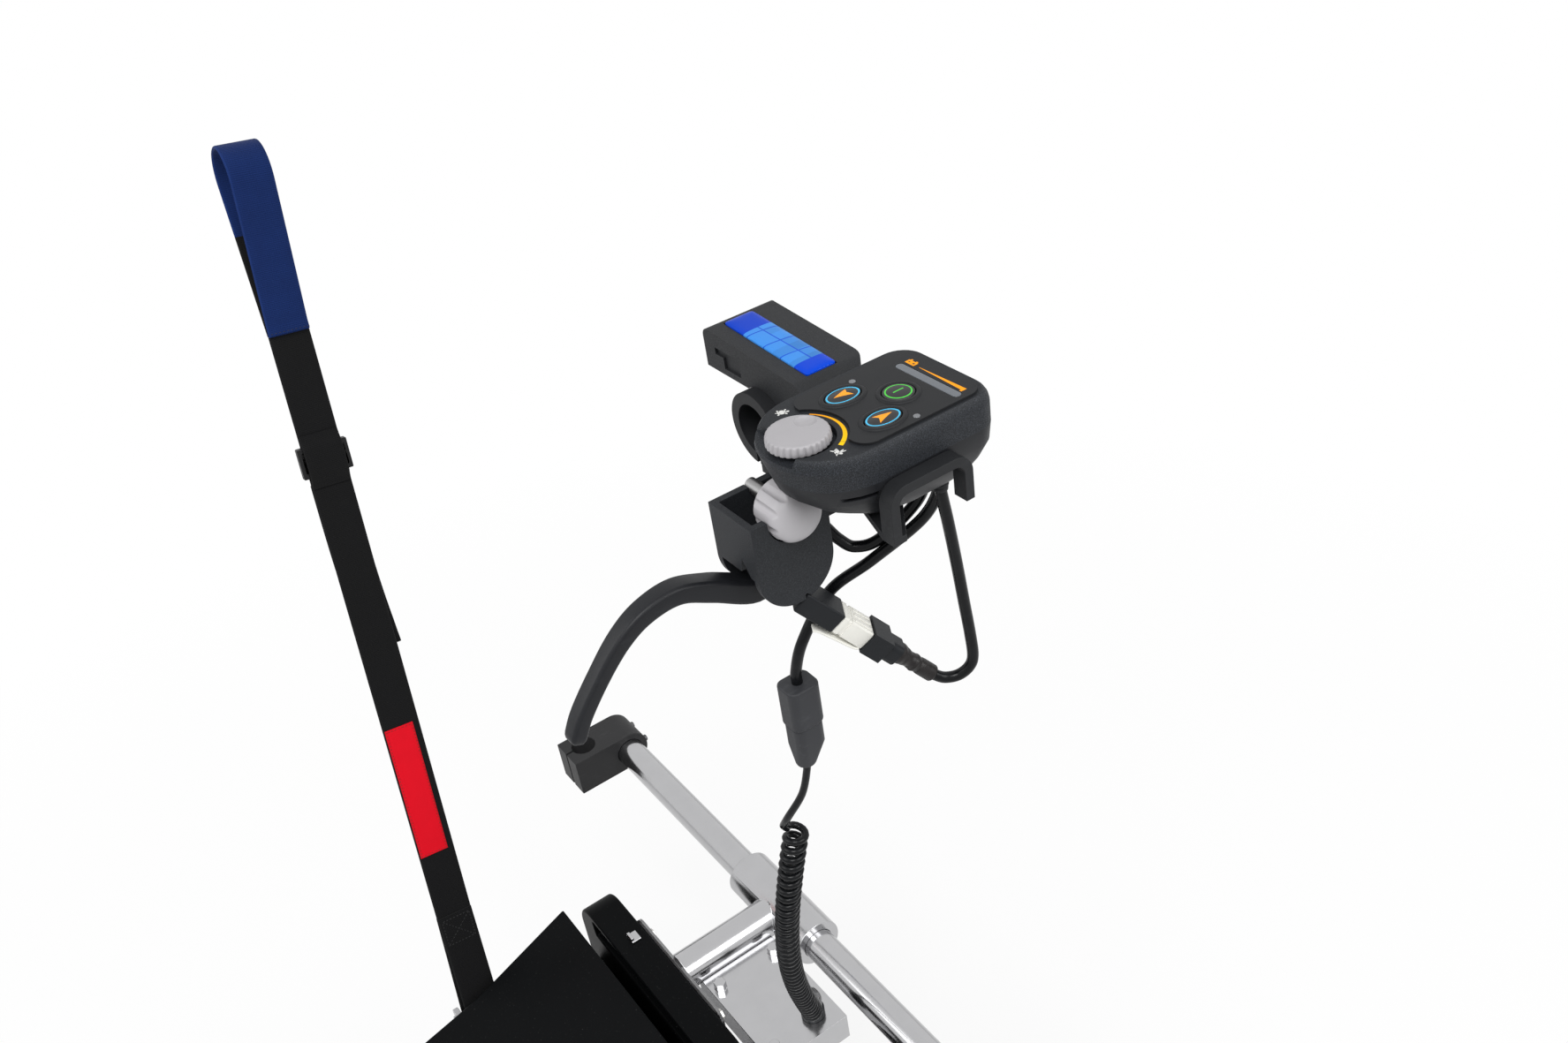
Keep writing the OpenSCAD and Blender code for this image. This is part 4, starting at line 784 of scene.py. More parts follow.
def screw_tree(finish, sizes):
    """Round head with a hexagon socket sunk in it."""
    g = Grower("socket screws", {"Head": sizes.screw / 2, "Height": sizes.screw * 0.45})
    head, high = g.inputs["Head"], g.inputs["Height"]
    body = g.rod(24, head, high, g.scale(high, 0.3))
    brow = g.cone(24, head, g.scale(head, 0.8), g.scale(high, 0.2), g.scale(high, 0.8))
    whole = g.node("GeometryNodeMeshBoolean", {"operation": "UNION"}, {1: [body, brow]})
    socket = g.rod(6, g.scale(head, 0.52), high, g.scale(high, 0.95))
    sunk = g.node("GeometryNodeMeshBoolean", {"operation": "DIFFERENCE"}, {0: whole, 1: socket})
    return g.seat(sunk, finish)


def stitch_tree(name, finish, long):
    """One rounded stitch lying along its seam."""
    g = Grower(name, {"Length": long, "Width": 0.0007, "Height": 0.0004})
    bead = g.node("GeometryNodeMeshUVSphere", None, {"Segments": 8, "Rings": 5, "Radius": 1.0})
    size = g.vector(g.scale(g.inputs["Length"], 0.42), g.scale(g.inputs["Width"], 0.5), g.inputs["Height"])
    return g.seat(g.lift(bead, (0, 0, 0), size), finish)


def fin_tree(finish):
    """Thin round cooling fin with a shallow rim."""
    g = Grower("cooling fins", {"Radius": 0.0415, "Thickness": 0.0016})
    wide, thick = g.inputs["Radius"], g.inputs["Thickness"]
    rim = g.rod(48, g.scale(wide, 0.985), g.scale(thick, 1.5))
    return g.seat(g.node("GeometryNodeJoinGeometry", None, {0: [g.rod(48, wide, thick), rim]}), finish)


def tread_tree(finish):
    """Slanted tread block with a narrower top."""
    g = Grower("tread blocks", {"Block": 0.0062, "Rise": 0.0012})
    block = g.cone(4, g.inputs["Block"], g.scale(g.inputs["Block"], 0.8), g.inputs["Rise"])
    return g.seat(g.lift(block, (0, 0, -0.0003), (0.62, 1.25, 1)), finish)


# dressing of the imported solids

def dress(names, finish, ease=0.5, segments=2, angle=35.0, whole=True):
    """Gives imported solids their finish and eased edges; their own meshes stay as they are."""
    for name in names.split():
        part = frame["nodes"][name]
        data = part.data
        data.materials.clear()
        data.materials.append(finish)
        data.polygons.foreach_set("material_index", [0] * len(data.polygons))
        if "custom_normal" in data.attributes:
            data.attributes.remove(data.attributes["custom_normal"])
        data.shade_smooth()
        weld = part.modifiers.new("joined corners", "WELD")
        weld.merge_threshold = 2e-6
        if whole:
            flat = part.modifiers.new("whole faces", "DECIMATE")
            flat.decimate_type, flat.angle_limit = "DISSOLVE", math.radians(0.3)
        if ease:
            edge = part.modifiers.new("eased edges", "BEVEL")
            edge.width, edge.segments = ease * MM, segments
            edge.limit_method, edge.angle_limit = "ANGLE", math.radians(angle)
            edge.miter_outer = "MITER_ARC"
        even = part.modifiers.new("even shading", "WEIGHTED_NORMAL")
        even.keep_sharp = True


def fit(piece, body, slot, *nodes):
    """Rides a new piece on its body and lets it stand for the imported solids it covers."""
    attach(piece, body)
    if nodes:
        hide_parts(*nodes)
    return piece


def seats_along(line, up, step):
    """Seats at even steps along a line of points, lying along it."""
    seats, spare = [], step / 2
    for a, b in zip(line, line[1:]):
        way, far = (b - a).normalized(), (b - a).length
        while spare <= far:
            seats.append((a + way * spare, up, way))
            spare += step
        spare -= far
    return seats


# operators

class ASSIST_OT_stage(bpy.types.Operator):
    """Sets the floor, the lamps and the camera"""
    bl_idname = "assist.stage"
    bl_label = "Stage"

    def execute(self, context):
        scene = context.scene
        sizes = scene.assist_stage
        self.camera(scene, sizes)
        self.lamps(scene, sizes)
        self.floor(sizes)
        scene.view_settings.view_transform = "Standard"
        return {"FINISHED"}

    def camera(self, scene, sizes):
        """Camera at its place, turned by azimuth, pitch and roll."""
        a, e, r = sizes.azimuth, sizes.pitch, sizes.roll
        back = Vector((math.sin(a) * math.cos(e), -math.cos(a) * math.cos(e), math.sin(e)))
        right = (-back).cross(Vector((0, 0, 1))).normalized()
        up = right.cross(-back)
        x = math.cos(r) * right + math.sin(r) * up
        y = -math.sin(r) * right + math.cos(r) * up
        turn = Matrix((x, y, back)).transposed().to_4x4()
        data = bpy.data.cameras.new("viewpoint")
        data.lens, data.sensor_width, data.sensor_fit = sizes.lens, 36.0, "HORIZONTAL"
        data.clip_start, data.clip_end = 0.01, 100.0
        scene.camera = put("viewpoint", data)
        scene.camera.matrix_world = Matrix.Translation(sizes.eye) @ turn

    def lamps(self, scene, sizes):
        """Even sky that is white where it is seen, a soft main lamp and two panels."""
        world = scene.world or bpy.data.worlds.new("soft sky")
        scene.world = world
        world.use_nodes = True
        tree = world.node_tree
        sky = tree.nodes["Background"]
        rays = tree.nodes.new("ShaderNodeLightPath")
        seen = rays.outputs["Is Camera Ray"]
        for kind in ("Is Glossy Ray", "Is Transmission Ray"):
            either = add_node(tree, "ShaderNodeMath", {"operation": "MAXIMUM"},
                              {0: seen, 1: rays.outputs[kind]})
            seen = either.outputs[0]
        level = add_node(tree, "ShaderNodeMapRange", None, {"Value": seen, 3: sizes.sky, 4: 1.0})
        tree.links.new(level.outputs[0], sky.inputs["Strength"])
        sky.inputs["Color"].default_value = (1, 1, 1, 1)
        for name, energy, place, way, size in (
                ("main lamp", sizes.sun, (0.1, -0.5, 1.0), (-0.55, 0.45, -1.0), None),
                ("side panel", 11.0, (1.1, 0.55, 0.75), (-1.0, -0.55, -0.8), 0.9),
                ("rear panel", 9.0, (-0.55, -1.2, 0.7), (0.5, 1.0, -0.75), 1.1)):
            data = bpy.data.lights.new(name, "AREA" if size else "SUN")
            data.energy = energy
            if size:
                data.shape, data.size = "SQUARE", size
            else:
                data.angle = math.radians(28)
            lamp = put(name, data)
            lamp.location = place
            lamp.rotation_euler = Vector(way).to_track_quat("-Z", "Y").to_euler()

    def floor(self, sizes):
        """Floor that takes soft shadows near the part and fades to plain white far from it."""
        m = Look("studio floor")
        m.done(m.shade(m.noise(400, 2.0) * 0.3, sizes.floor, 0.97), 0.9, Specular_IOR_Level=0.0)
        white = m.node("Emission", None, {"Color": (1, 1, 1), "Strength": 1.0})
        rays = m.node("LightPath", out="Is Camera Ray")
        middle, fade = (-225, -40, 0), 1000
        x, y, _ = m.along(middle)
        share = x.away(y).over(fade, fade) * (1 - sizes.glow) + sizes.glow
        both = m.node("MixShader", None, {0: rays * share, 1: m.shader.outputs[0], 2: white})
        feed(m.tree, m.tree.nodes["Material Output"].inputs["Surface"], both)
        data = bpy.data.meshes.new("studio floor")
        reach, low = 30.0, FLOOR - 0.0005
        corners = [(sx * reach, sy * reach, low) for sx, sy in ((-1, -1), (1, -1), (1, 1), (-1, 1))]
        data.from_pydata(corners, [], [(0, 1, 2, 3)])
        data.materials.append(m.material)
        floor = put("studio_floor", data)


class ASSIST_OT_cords(bpy.types.Operator):
    """Lays the sheathed cables and winds the coiled lead"""
    bl_idname = "assist.cords"
    bl_label = "Cables and coiled lead"

    def execute(self, context):
        sizes = context.scene.assist_cords
        sheath = look("glossy sheath", glossy_sheath, sizes.black)
        nodes = frame["nodes"]
        way = (PLUG_TO - PLUG_FROM).normalized()
        d = sizes.sheath / MM
        loop = [(*LOOP_HOLE, -8), (*LOOP_HOLE, -14), (71.5, 38.7, -30), (70.5, 42.2, -52),
                (70.3, 44.8, -74), (70.6, 46.6, -92), (70.8, 47.1, -103.9), (69.8, 45.4, -109.7),
                (67.4, 41.2, -113.3), (64.5, 36, -113.4), PLUG_TO + way, PLUG_TO]
        squeeze = [(*LEVER_HOLE, -8), (*LEVER_HOLE, -14), (53, 38.5, -29), (44, 25, -45),
                   (37, 17, -48.5), (33, 12, -44), (30, 7, -36), (30, 2, -36)]
        main = [(*MAIN_HOLE, -8), (*MAIN_HOLE, -16), (58, 37, -34), (44, 20, -53), (33, 4, -67),
                (29, -10, -88), (26, -14, -105), (26, -14, -110)]
        line = [bpy.data.objects["shrunk_sleeve"], nodes["cable_plug"], bpy.data.objects["latch_block"]]
        block = [nodes["junction_upper"], nodes["junction_lower"]]
        for name, route, node, end, on in (
                ("loop_lead", loop, "loop_cable", "connector", line),
                ("lever_lead", squeeze, "lever_cable", "object", []),
                ("head_lead", main, "main_cable", "fitting", block)):
            path = cable_run(route)
            made = fit(tube(path, d / 2, 20).piece(name, sheath), "frame", "cable", node)
            path[0] * MM
            run_length(path)
            [p * MM for p in path]
        boots = Shape()
        # radii and heights of a ribbed boot, round from its bore
        rows = ((2.4, -7.9), (3.6, -7.9), (3.7, -8.2), (3.7, -9.2), (3.35, -9.4), (3.3, -10.0),
                (3.5, -10.2), (3.4, -11.0), (3.05, -11.2), (3.0, -11.8), (3.15, -12.0), (3.0, -13.2),
                (2.8, -13.5), (2.4, -13.5))
        for at in (LOOP_HOLE, LEVER_HOLE, MAIN_HOLE):
            boots.loft([circle(r, 28, z, at) for r, z in rows], band=True)
        rubber = look("boot rubber", fine_shell, times(sizes.black, 1.6), 0.55)
        fit(boots.piece("lead_boots", rubber), "frame", "cable")
        path = self.coil_path(sizes)
        finish = look("coil sheath", glossy_sheath, sizes.black)
        coil = tube(path, sizes.lead / MM / 2, 12).piece("coiled_lead", finish)
        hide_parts("coil_cord")
        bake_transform(coil)
        path[0] * MM
        run_length(path)
        [p * MM for p in path]
        return {"FINISHED"}

    def coil_path(self, sizes):
        """The lead's middle line: a short start, curls round a sagging curve, and the tail to the plug."""
        a, b, c, d = (Vector(p) for p in ((10, -18, -210), (9, -40, -282), (-24, -20, -352),
                                          (-48, 3, -425)))
        start = [Vector(p) for p in ((26, -16, -156), (26, -16, -159.6), (23, -19, -176), (16, -25, -193),
                                     (10, -25, -203))]
        tail = [Vector(p) for p in ((-60, 11, -446), (-92, 31, -492), (-138, 57, -548), (-163, 66, -573),
                                    (-168, 66, -583.4), (-168, 66, -588))]
        r = (sizes.coil - sizes.lead) / MM / 2
        first = math.radians(127)
        count = 16 * sizes.turns
        curls = []
        for i in range(count + 1):
            s = i / count
            p = (1 - s) ** 3 * a + 3 * s * (1 - s) ** 2 * b + 3 * s * s * (1 - s) * c + s ** 3 * d
            t = ((1 - s) ** 2 * (b - a) + 2 * s * (1 - s) * (c - b) + s * s * (d - c)).normalized()
            e = (RIGHT - t.x * t).normalized()
            turn = first + 2 * math.pi * sizes.turns * s
            curls.append(p + r * (math.cos(turn) * e + math.sin(turn) * t.cross(e)))
        inward = [start[0]] + curve(start, 6, 1)[:-1]
        outward = curve(tail, 6, 0, len(tail) - 2) + [tail[-1]]
        turn_in = self.bend(inward[-2:] + curls[:2], 4)
        turn_out = self.bend(curls[-2:] + outward[:2], 5)
        return inward + turn_in + curls + turn_out + outward

    def bend(self, ends, steps):
        """Points between the middle two of four."""
        return [curve_at(ends, 1, k / steps) for k in range(1, steps)]


class ASSIST_OT_strap(bpy.types.Operator):
    """Weaves the lifting strap with its loop, patch and seams"""
    bl_idname = "assist.strap"
    bl_label = "Lifting strap"

    def execute(self, context):
        sizes = context.scene.assist_strap
        self.w, self.t = sizes.width / MM, sizes.thick / MM
        run = STRAP_TO - STRAP_FROM
        self.long = run.length
        self.lay = Matrix.Translation(STRAP_FROM) @ Matrix.Rotation(-math.atan2(run.x, -run.z), 4, "Y") \
            @ Matrix.Rotation(math.asin(run.y / self.long), 4, "X")
        navy = look("navy webbing", webbing, sizes.navy)
        black = look("black webbing", webbing, sizes.black, 1.1)
        red = look("red patch", satin_patch, sizes.red)
        loop_end, fold_end = -105.0, 90 - self.long
        loop_r, pin_r = 19.5, 6.5
        over = self.loop_line(0.0, loop_r, loop_end)
        split = next(i for i, (x, z) in enumerate(over) if x < -5 and z < -34)
        front = self.band(over[:split + 1]).piece("grip_loop", navy)
        fit(front, "frame", "web_navy", "strap_loop")
        fit(self.band(over[split:]).piece("grip_loop_back", black), "frame", "web_black")
        hem = [(3.3, z) for z in (-92, -95, -98, -101, -104.4)]
        fit(self.band(hem, 1.2, self.w - 0.4).piece("grip_loop_hem", navy), "frame", "web_navy")
        top, low = loop_end - 0.1, fold_end + 0.1
        line = [(0, top + (low - top) * k / 90) for k in range(91)]
        self.across(self.band(line).piece("strap_ribbon", black), "web_black", "strap_webbing")
        wrap = curve([Vector(p) for p in
                      ((1.3, -176), (2.6, -180.5), (4.5, -184.5), (4.9, -190), (4.9, -200),
                       (4.5, -205.5), (2.6, -209.5), (1.3, -214))], 5)
        fit(self.band(wrap, 1.8, self.w - 0.6).piece("slider_wrap", black), "frame", "web_black")
        patch_top, patch_long, patch_thick = -405.9, 110, 0.84
        patch = [(self.t / 2 + patch_thick / 2, patch_top - k * patch_long / 24) for k in range(25)]
        self.off = 1 - (self.w - sizes.patch_width / MM) / 2
        sewn = self.band(patch, patch_thick, sizes.patch_width / MM, [self.off] * len(patch))
        self.across(sewn.piece("sewn_patch", red), "web_red", "strap_patch")
        steps = range(41)
        tail = [(-self.t - 0.35 * math.sin(math.pi * k / 40) - 2.2 * max(0, k - 34) / 6, -212 - 3.3 * k)
                for k in steps]
        drift = [4.4 * (k / 40) ** 3 for k in steps]
        self.across(self.band(tail, 2.2, None, drift).piece("strap_tail", black), "web_black")
        under = self.loop_line(-self.long, pin_r, fold_end)
        fit(self.band(under).piece("pin_loop", black), "drive", "web_black", "strap_lower_loop")
        dress("strap_slider", look("slider plastic", fine_shell, tone(22, 22, 23), 0.4), 0.9, 3)
        self.seams(sizes)
        return {"FINISHED"}

    def across(self, piece, slot, *nodes):
        """A strap piece with its transform baked into its mesh; the imported solids it covers are hidden.
        """
        if nodes:
            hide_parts(*nodes)
        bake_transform(piece)

    def loop_line(self, at, inner, end):
        """Middle line (x, z) of webbing led round a rod at height at and back to height end."""
        r, side = inner + self.t / 2, 1 if end < at else -1
        reach = math.hypot(self.t / 2, end - at)
        lean = math.acos(r / reach) - math.atan2(self.t / 2, abs(end - at))
        first = math.pi / 2 - lean
        arc = [(r * math.cos(a), at + side * r * math.sin(a))
               for a in (-first + (math.pi + 2 * first) * k / 40 for k in range(41))]
        up, down = (self.t / 2, end), (-self.t / 2, end)
        return self.leg(up, arc[0]) + arc + self.leg(arc[-1], down)[1:] + [down]

    def leg(self, p, q, n=24):
        """Even points from p up to, but not on, q."""
        return [(p[0] + (q[0] - p[0]) * k / n, p[1] + (q[1] - p[1]) * k / n) for k in range(n)]

    def band(self, line, thick=None, width=None, drift=None):
        """Webbing along a line (x, z) of the strap's own plane; drift moves it sideways."""
        t, w = (thick or self.t) / 2, (width or self.w) / 2
        half = [(-t, -w + t + 2 * (w - t) * k / 6) for k in range(7)]
        half += [(-0.7 * t, w - 0.4 * t), (0, w), (0.7 * t, w - 0.4 * t)]
        section = half + [(-a, -b) for a, b in half]
        rings, at, far = [], [], 0.0
        for i, (x, z) in enumerate(line):
            p, q = line[max(i - 1, 0)], line[min(i + 1, len(line) - 1)]
            way = Vector((q[0] - p[0], q[1] - p[1])).normalized()
            side = drift[i] if drift else 0.0
            rings.append(moved([(x - a * way.y, b + side, z + a * way.x) for a, b in section], self.lay))
            far += math.hypot(x - line[i - 1][0], z - line[i - 1][1]) if i else 0.0
            at.append(far)
        return Shape().loft(rings, us=[b for _, b in section], vs=at)

    def seams(self, sizes):
        """Rows of stitches across the hem, round the patch and boxed over the lower fold."""
        long, step = sizes.stitch, sizes.stitch / MM * 1.25
        face = self.lay.to_3x3() @ RIGHT

        def row(*points):
            return seats_along(moved(points, self.lay), face, step)

        def yarn(name, hue, rgb, k):
            return stitch_tree(name + " stitches", look(hue + " thread", thread, times(rgb, k)), long)

        navy = yarn("seam", "navy", sizes.navy, 0.5)
        black = yarn("webbing", "black", sizes.black, 1.8)
        red = yarn("patch", "red", sizes.red, 0.55)
        seats = [seat for z in (-93.6, -103.0) for seat in row((3.92, -13.1, z), (3.92, 13.1, z))]
        fit(navy.grow("hem_stitches", seats), "frame", "web_navy")
        edge = sizes.patch_width / MM / 2 - 1.1
        x, top, low = self.t / 2 + 0.86, -407.2, -514.6
        near, far = self.off - edge, self.off + edge
        seats = row((x, near, top), (x, far, top), (x, far, low), (x, near, low), (x, near, top))
        self.across(red.grow("patch_stitches", seats), "web_red")
        a, b = (2.5, -11, 87 - self.long), (2.5, 11, 87 - self.long)
        c, d = (4.0, 11, 66 - self.long), (4.0, -11, 66 - self.long)
        fit(black.grow("fold_stitches", row(a, b, c, d, a) + row(a, c) + row(b, d)), "drive", "web_black")


class ASSIST_OT_clamp(bpy.types.Operator):
    """Finishes the clamp, its hood and the label"""
    bl_idname = "assist.clamp"
    bl_label = "Clamp and hood"

    def execute(self, context):
        head = context.scene.assist_head
        hood = look("hood moulding", spark_shell, tone(31, 32, 34), tone(58, 60, 63))
        dress("clamp_hood", hood, 1.2, 3, whole=False)
        dress("clamp_collar bracket_arm", look("collar moulding", fine_shell, tone(28, 29, 31)), 0.8, 3)
        dress("pinch_bolt", look("zinc steel", metal, *ZINC), 0.35)
        lean = Matrix.Translation(LABEL) @ Matrix.Rotation(math.radians(3.39), 4, "Y")
        crown = head.label_crown / MM
        rings = [round_rect(29 - inset, 7.25 - inset, max(1.6 - 0.6 * inset, 0.25), z) for inset, z in
                 ((0.5, -0.5), (0.05, -0.45), (0, 0.3), (0.15, 0.55), (0.55, 0.62 * crown),
                  (1.3, 0.8 * crown), (2.4, 0.91 * crown), (3.8, 0.97 * crown), (5.4, crown),
                  (6.6, crown))]
        label = Shape().loft([moved(ring, lean) for ring in rings])
        resin = look("resin label", resin_label, head)
        fit(label.piece("label_crown", resin, 50), "frame", "label", "label_plate")
        return {"FINISHED"}


class ASSIST_OT_control_head(bpy.types.Operator):
    """Finishes the control head's shells, panel, dial and keys"""
    bl_idname = "assist.control_head"
    bl_label = "Control head"

    def execute(self, context):
        head = context.scene.assist_head
        black, speck = tone(24, 26, 29), tone(92, 97, 106)
        dress("head_upper_shell", look("deck moulding", printed_shell, black, speck, head), 0.8, 3, 24)
        lower = look("lower shell moulding", fine_shell, tone(27, 28, 31), 0.46)
        dress("head_lower_shell", lower, 0.35, 2, 40, whole=False)
        film = look("panel film", panel_film, tone(25, 26, 28), head)
        dress("keypad_panel", film, 0.35, 3)
        dress("gauge_window", look("gauge window", smoked_lens, tone(74, 80, 88), 3.8), 0.3)
        dress("indicator_lamps", look("lamp lens", smoked_lens, tone(96, 98, 102), 9.0), 0.3)
        dress("cable_guard", look("guard moulding", fine_shell, tone(31, 32, 34), 0.48), 1.1, 3)
        dress("circuit_board", look("board", board_mask, tone(14, 70, 42)), 0.15)
        dress("dial_potentiometer", look("part housing", fine_shell, tone(30, 60, 50), 0.4), 0.3)
        self.dial(head)
        self.keys(head, film)
        self.marks(head)
        return {"FINISHED"}

    def dial(self, head):
        """Dial with thirty narrow flutes and a finger dimple, on a foot that stands back."""
        notch = (1.0, 0.8, 0.2, 0.0, 0.0, 0.0, 0.2, 0.8)
        flutes, top, rim = 30, DECK + 3.7, 11.1
        # the dimple's middle, radius and depth
        spot, across, deep = Vector((-3.03, 5.7)), 4.2, 1.1

        def ring(r, z, cut):
            out = []
            for j, a in enumerate(angles(flutes * len(notch))):
                far = r - cut * notch[j % len(notch)]
                out.append(Vector((DIAL[0] + far * math.cos(a), DIAL[1] + far * math.sin(a), z)))
            return out

        def crown(p):
            x, y = p.x - DIAL[0], p.y - DIAL[1]
            away = math.hypot(x - spot.x, y - spot.y) / across
            sunk = deep * (1 - away ** 4) if away < 1 else 0.0
            lip = 0.09 * math.exp(-((away - 1.04) / 0.07) ** 2)
            p.z = top - 0.55 * (x * x + y * y) / rim ** 2 - sunk + lip
            return p

        # radius, height and depth of the flutes, from the shaft up to the crown's rim
        skirt = ((3.0, 18.6, 0), (3.0, 27.2, 0), (9.0, 27.2, 0), (9.25, 27.4, 0), (9.25, 28.75, 0),
                 (11.5, 28.8, 0.1), (12.0, 28.95, 0.45), (12.25, 29.3, 0.6), (12.2, 30.6, 0.6),
                 (12.05, 32.0, 0.55), (11.85, 32.5, 0.4), (11.55, 32.9, 0.15))
        rings = [ring(*row) for row in skirt]
        rings += [[crown(p) for p in ring(r, 0, 0)] for r in (rim - 0.25 * k for k in range(44))]
        grey = look("dial moulding", grey_moulding, head.dial_grey)
        fit(Shape().loft(rings).piece("dial_knob", grey, 50), "dial", "knob_grey", "speed_dial")

    def keys(self, head, film):
        """Crowned key caps, each in an embossed surround of the panel."""
        crown, rise, wide = head.key_crown / MM, head.surround_rise / MM, head.surround_width / MM
        base, gap = tone(20, 21, 23), 0.4
        # insets and heights over the film
        cap = ((0.6, -10.3), (0, -10.0), (0, 0.1), (0.12, 0.45), (0.4, 0.65), (0.8, 0.68), (1.1, 0.6),
               (1.5, 0.66), (2.4, 0.62 + 0.55 * crown), (3.5, 0.6 + 0.85 * crown), (4.6, 0.6 + crown))
        rim = ((0, -0.7), (0, 0.7 * rise), (0.15, rise), (0.75 * wide, rise), (0.95 * wide, 0.6 * rise),
               (1.15 * wide, 0), (1.15 * wide, -0.7))
        for name, middle, w, long, finish in (
                ("reverse", REVERSE_KEY, 10.5, 15.0,
                 look("reverse key", arrow_key, base, head, REVERSE_KEY, False)),
                ("forward", FORWARD_KEY, 10.5, 15.0,
                 look("forward key", arrow_key, base, head, FORWARD_KEY, True)),
                ("power", POWER_KEY, 12.5, 12.5, look("power key", power_key, base, head))):
            rings = [oval(w, long, inset, FILM + z, middle) for inset, z in cap]
            made = Shape().loft(rings).piece(name + "_cap", finish, 60)
            fit(made, name + "_key", "key", name + "_button")
            rings = [oval(w, long, -gap - out, FILM + z, middle) for out, z in rim]
            fit(Shape().loft(rings, band=True).piece(name + "_surround", film, 60), "frame", "panel")

    def marks(self, head):
        """Slow and fast marks of plain ovals, flat on the deck."""
        # each oval's place, half length, half width and lean in degrees
        slow = (((0, 0), 1.9, 1.45, 60), ((0.95, 1.95), 0.75, 0.55, 60), ((-0.95, -1.8), 0.5, 0.22, 60),
                ((1.75, 0.7), 0.8, 0.33, 15), ((-0.55, 1.75), 0.8, 0.33, 105),
                ((0.7, -1.7), 0.8, 0.33, -75), ((-1.65, -0.55), 0.8, 0.33, -165))
        fast = (((0, 0), 1.75, 0.95, -25), ((1.75, 0.35), 0.85, 0.6, 20), ((1.35, 1.75), 1.25, 0.3, 75),
                ((0.65, 1.6), 1.25, 0.3, 105), ((-1.5, 0.9), 0.45, 0.4, 0),
                ((1.3, -1.05), 1.0, 0.28, -35), ((-1.35, -0.75), 1.1, 0.32, -150))
        shape = Shape()
        for middle, ovals in ((Vector((42.4, -11.7)), slow), (Vector((79.7, -14.4)), fast)):
            for at, long, wide, lean in ovals:
                turn = Matrix.Rotation(math.radians(lean), 2)
                edge = [middle + Vector(at) + turn @ Vector((long * math.cos(a), wide * math.sin(a)))
                        for a in angles(18)]
                shape.loft([[(*p, z) for p in edge] for z in (DECK - 0.05, DECK + 0.06)])
        fit(shape.piece("deck_marks", look("deck ink", thread, head.white)), "frame", "panel")


